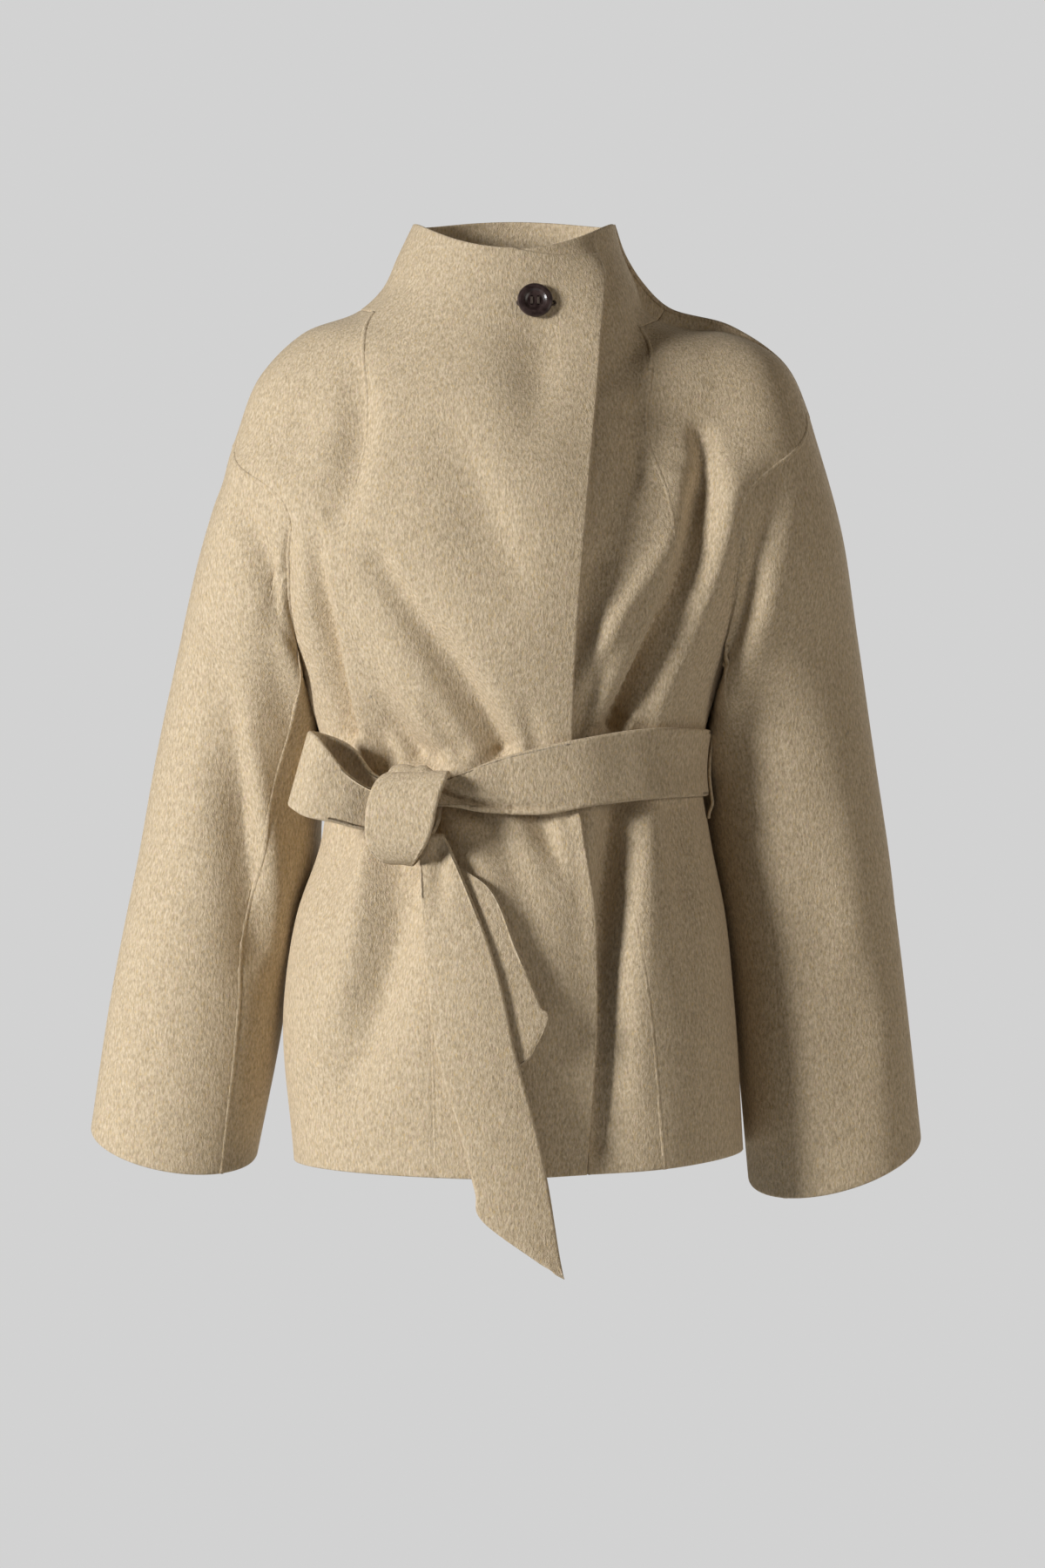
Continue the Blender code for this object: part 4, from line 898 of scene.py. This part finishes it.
def make_thread():
    """The strands that sew the button on, from hole to hole across its dished middle."""
    button = bpy.data.objects["button"]
    points = np.array([button.matrix_world @ v.co for v in button.data.vertices]) / MM
    middle = (points.max(axis=0) + points.min(axis=0)) / 2
    out = np.linalg.svd(points - points.mean(axis=0), full_matrices=False)[2][2]
    out = out if out[1] < 0 else -out
    right = unit(np.cross((0.0, 0.0, 1.0), -out))
    up = np.cross(right, -out)
    heights = (points - middle) @ out
    dish = heights.min() + DISH_SHARE * (heights.max() - heights.min())
    share = np.linspace(-1, 1, STRAND_STEPS)
    lengthwise = np.outer(share * (HOLE_OFFSET + STRAND_PAST), up)
    arch = np.outer(dish + THREAD_RISE * (1 - share**STRAND_POWER) - STRAND_SINK, out)
    outward = np.repeat(out[None], STRAND_STEPS, axis=0)
    for number, side in enumerate((-1, 1)):
        for strand, offset in enumerate(THREAD_STRANDS):
            path = middle + lengthwise + (side * HOLE_OFFSET + offset) * right + arch
            name = f"button_thread_{number}_{strand}"
            sweep(name, path, outward, THREAD_HALF, THREAD_HALF, CORD_SIDES, "thread", slot="button")


def principled(name, settings):
    """A new material with these settings of its shader."""
    material = bpy.data.materials.new(name)
    material.use_nodes = True
    tree = material.node_tree
    shader = tree.nodes["Principled BSDF"]
    for socket, value in settings.items():
        shader.inputs[socket].default_value = value
    return tree, shader


def place_of(tree):
    return tree.nodes.new("ShaderNodeTexCoord").outputs["Object"]


def noise_of(tree, place, scale, detail, roughness):
    texture = tree.nodes.new("ShaderNodeTexNoise")
    texture.inputs["Scale"].default_value = scale
    texture.inputs["Detail"].default_value = detail
    texture.inputs["Roughness"].default_value = roughness
    tree.links.new(place, texture.inputs["Vector"])
    return texture.outputs["Fac"]


def ramp_of(tree, value, stops):
    ramp = tree.nodes.new("ShaderNodeValToRGB")
    elements = ramp.color_ramp.elements
    while len(elements) < len(stops):
        elements.new(0.5)
    for element, (position, colour) in zip(elements, stops):
        element.position = position
        element.color = (*colour, 1)
    tree.links.new(value, ramp.inputs["Fac"])
    return ramp.outputs["Color"]


def mix_of(tree, share, first, second):
    mix = tree.nodes.new("ShaderNodeMix")
    mix.data_type = "RGBA"
    tree.links.new(share, mix.inputs["Factor"])
    tree.links.new(first, mix.inputs["A"])
    mix.inputs["B"].default_value = (*second, 1)
    return mix.outputs["Result"]


def make_wool(name, lean):
    """Brushed double-faced wool: short combed fibres, flecks of several colours, a soft sheen."""
    tree, shader = principled(name, WOOL)
    nodes, links = tree.nodes, tree.links
    comb = nodes.new("ShaderNodeMapping")
    comb.inputs["Rotation"].default_value = (0, math.radians(lean), 0)
    comb.inputs["Scale"].default_value = NAP_STRETCH
    links.new(place_of(tree), comb.inputs["Vector"])
    combed = comb.outputs["Vector"]
    nap = noise_of(tree, combed, NAP_SCALE, *NAP_NOISE)
    colour = ramp_of(tree, nap, NAP_COLOURS)
    for fleck in FLECKS:
        spots = noise_of(tree, combed, fleck.scale, *FLECK_NOISE)
        share = ramp_of(tree, spots, [(fleck.low, (0, 0, 0)), (fleck.high, FLECK_MOST)])
        colour = mix_of(tree, share, colour, fleck.tint)
    links.new(colour, shader.inputs["Base Color"])
    fibre = noise_of(tree, combed, FIBRE_SCALE, *NAP_NOISE)
    height = nodes.new("ShaderNodeMath")
    height.operation = "MULTIPLY_ADD"
    height.inputs[1].default_value = NAP_WEIGHT
    links.new(nap, height.inputs[0])
    links.new(fibre, height.inputs[2])
    bump = nodes.new("ShaderNodeBump")
    bump.inputs["Strength"].default_value = BUMP_STRENGTH
    bump.inputs["Distance"].default_value = BUMP_DISTANCE
    links.new(height.outputs["Value"], bump.inputs["Height"])
    links.new(bump.outputs["Normal"], shader.inputs["Normal"])


def make_streaked(look):
    tree, shader = principled(look.name, {"Roughness": look.roughness})
    streaks = noise_of(tree, place_of(tree), look.scale, look.detail, STREAK_ROUGHNESS)
    tree.links.new(ramp_of(tree, streaks, look.stops), shader.inputs["Base Color"])


def area_light(light):
    data = bpy.data.lights.new(light.name, "AREA")
    data.shape = "DISK"
    data.size = light.size
    data.energy = light.power
    data.color = light.colour
    lamp = bpy.data.objects.new(light.name, data)
    lamp.location = light.place
    lamp.rotation_euler = (Vector(LIGHT_AIM) - Vector(light.place)).to_track_quat("-Z", "Y").to_euler()
    bpy.context.scene.collection.objects.link(lamp)


def make_studio():
    scene = bpy.context.scene
    scene.view_settings.view_transform = "Standard"
    world = bpy.data.worlds.new("studio")
    world.use_nodes = True
    world.node_tree.nodes["Background"].inputs["Color"].default_value = (BACKDROP, BACKDROP, BACKDROP, 1)
    world.cycles_visibility.diffuse = False
    world.cycles_visibility.glossy = False
    scene.world = world
    for light in LIGHTS:
        area_light(light)
    mesh = bpy.data.meshes.new("floor")
    bm = bmesh.new()
    bmesh.ops.create_circle(bm, cap_ends=True, segments=FLOOR_SIDES, radius=FLOOR_RADIUS)
    bm.to_mesh(mesh)
    bm.free()
    floor = bpy.data.objects.new("floor", mesh)
    floor.location.z = FLOOR_Z
    scene.collection.objects.link(floor)
    principled("floor", FLOOR)
    mesh.materials.append(bpy.data.materials["floor"])
    camera = bpy.data.cameras.new("camera")
    camera.sensor_fit = "VERTICAL"
    camera.sensor_width = camera.sensor_height = SENSOR
    camera.lens = SENSOR * -CAMERA_PLACE[1] / FRAME_HEIGHT
    holder = bpy.data.objects.new("camera", camera)
    holder.location = CAMERA_PLACE
    holder.rotation_euler = (math.pi / 2, 0, 0)
    scene.collection.objects.link(holder)
    scene.camera = holder


make_wool("brushed_wool", NAP_LEAN)
make_wool("belt_wool", BELT_NAP_LEAN)
make_streaked(RESIN)
make_streaked(THREAD)
make_studio()

coat_points, coat_normals, coat_walls, coat_seams = coat_surface()
for piece_name, (piece_normals, piece_quads) in coat_walls.items():
    piece = shell(f"{piece_name}_cloth", coat_points, piece_normals, piece_quads, CLOTH, "brushed_wool")
    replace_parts(piece, piece_name)
for seam_name, line in coat_seams.items():
    outward = coat_normals[line]
    height = np.interp(np.linspace(0, 1, len(line)), WELT_SHARES, SEAMS[seam_name].heights)
    path = coat_points[line] - WELT_SINK * outward
    full = np.clip(height / WELT_FULL, 0, 1)
    half, rise = WELT_HALF * full, (WELT_SINK + height) * full
    sweep(f"seam_{seam_name}", path, outward, half, rise, WELT_SIDES, "brushed_wool")
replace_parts(make_band(), "belt_band")
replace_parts(make_carrier("belt_carrier_right_cloth", -1), "belt_carrier_right")
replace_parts(make_carrier("belt_carrier_left_cloth", 1), "belt_carrier_left")
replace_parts(make_knot(), "belt_knot")
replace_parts(make_loop(), "belt_bow_loop")
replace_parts(make_tail("belt_tail_long_cloth", LONG_TAIL, "long_tail"), "belt_tail_long")
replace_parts(make_tail("belt_tail_short_cloth", SHORT_TAIL, "short_tail"), "belt_tail_short")

button_cad = bpy.data.objects["button"]
button_cad.data.materials.clear()
button_cad.data.materials.append(bpy.data.materials["horn_resin"])
make_thread()
make_buttonhole()
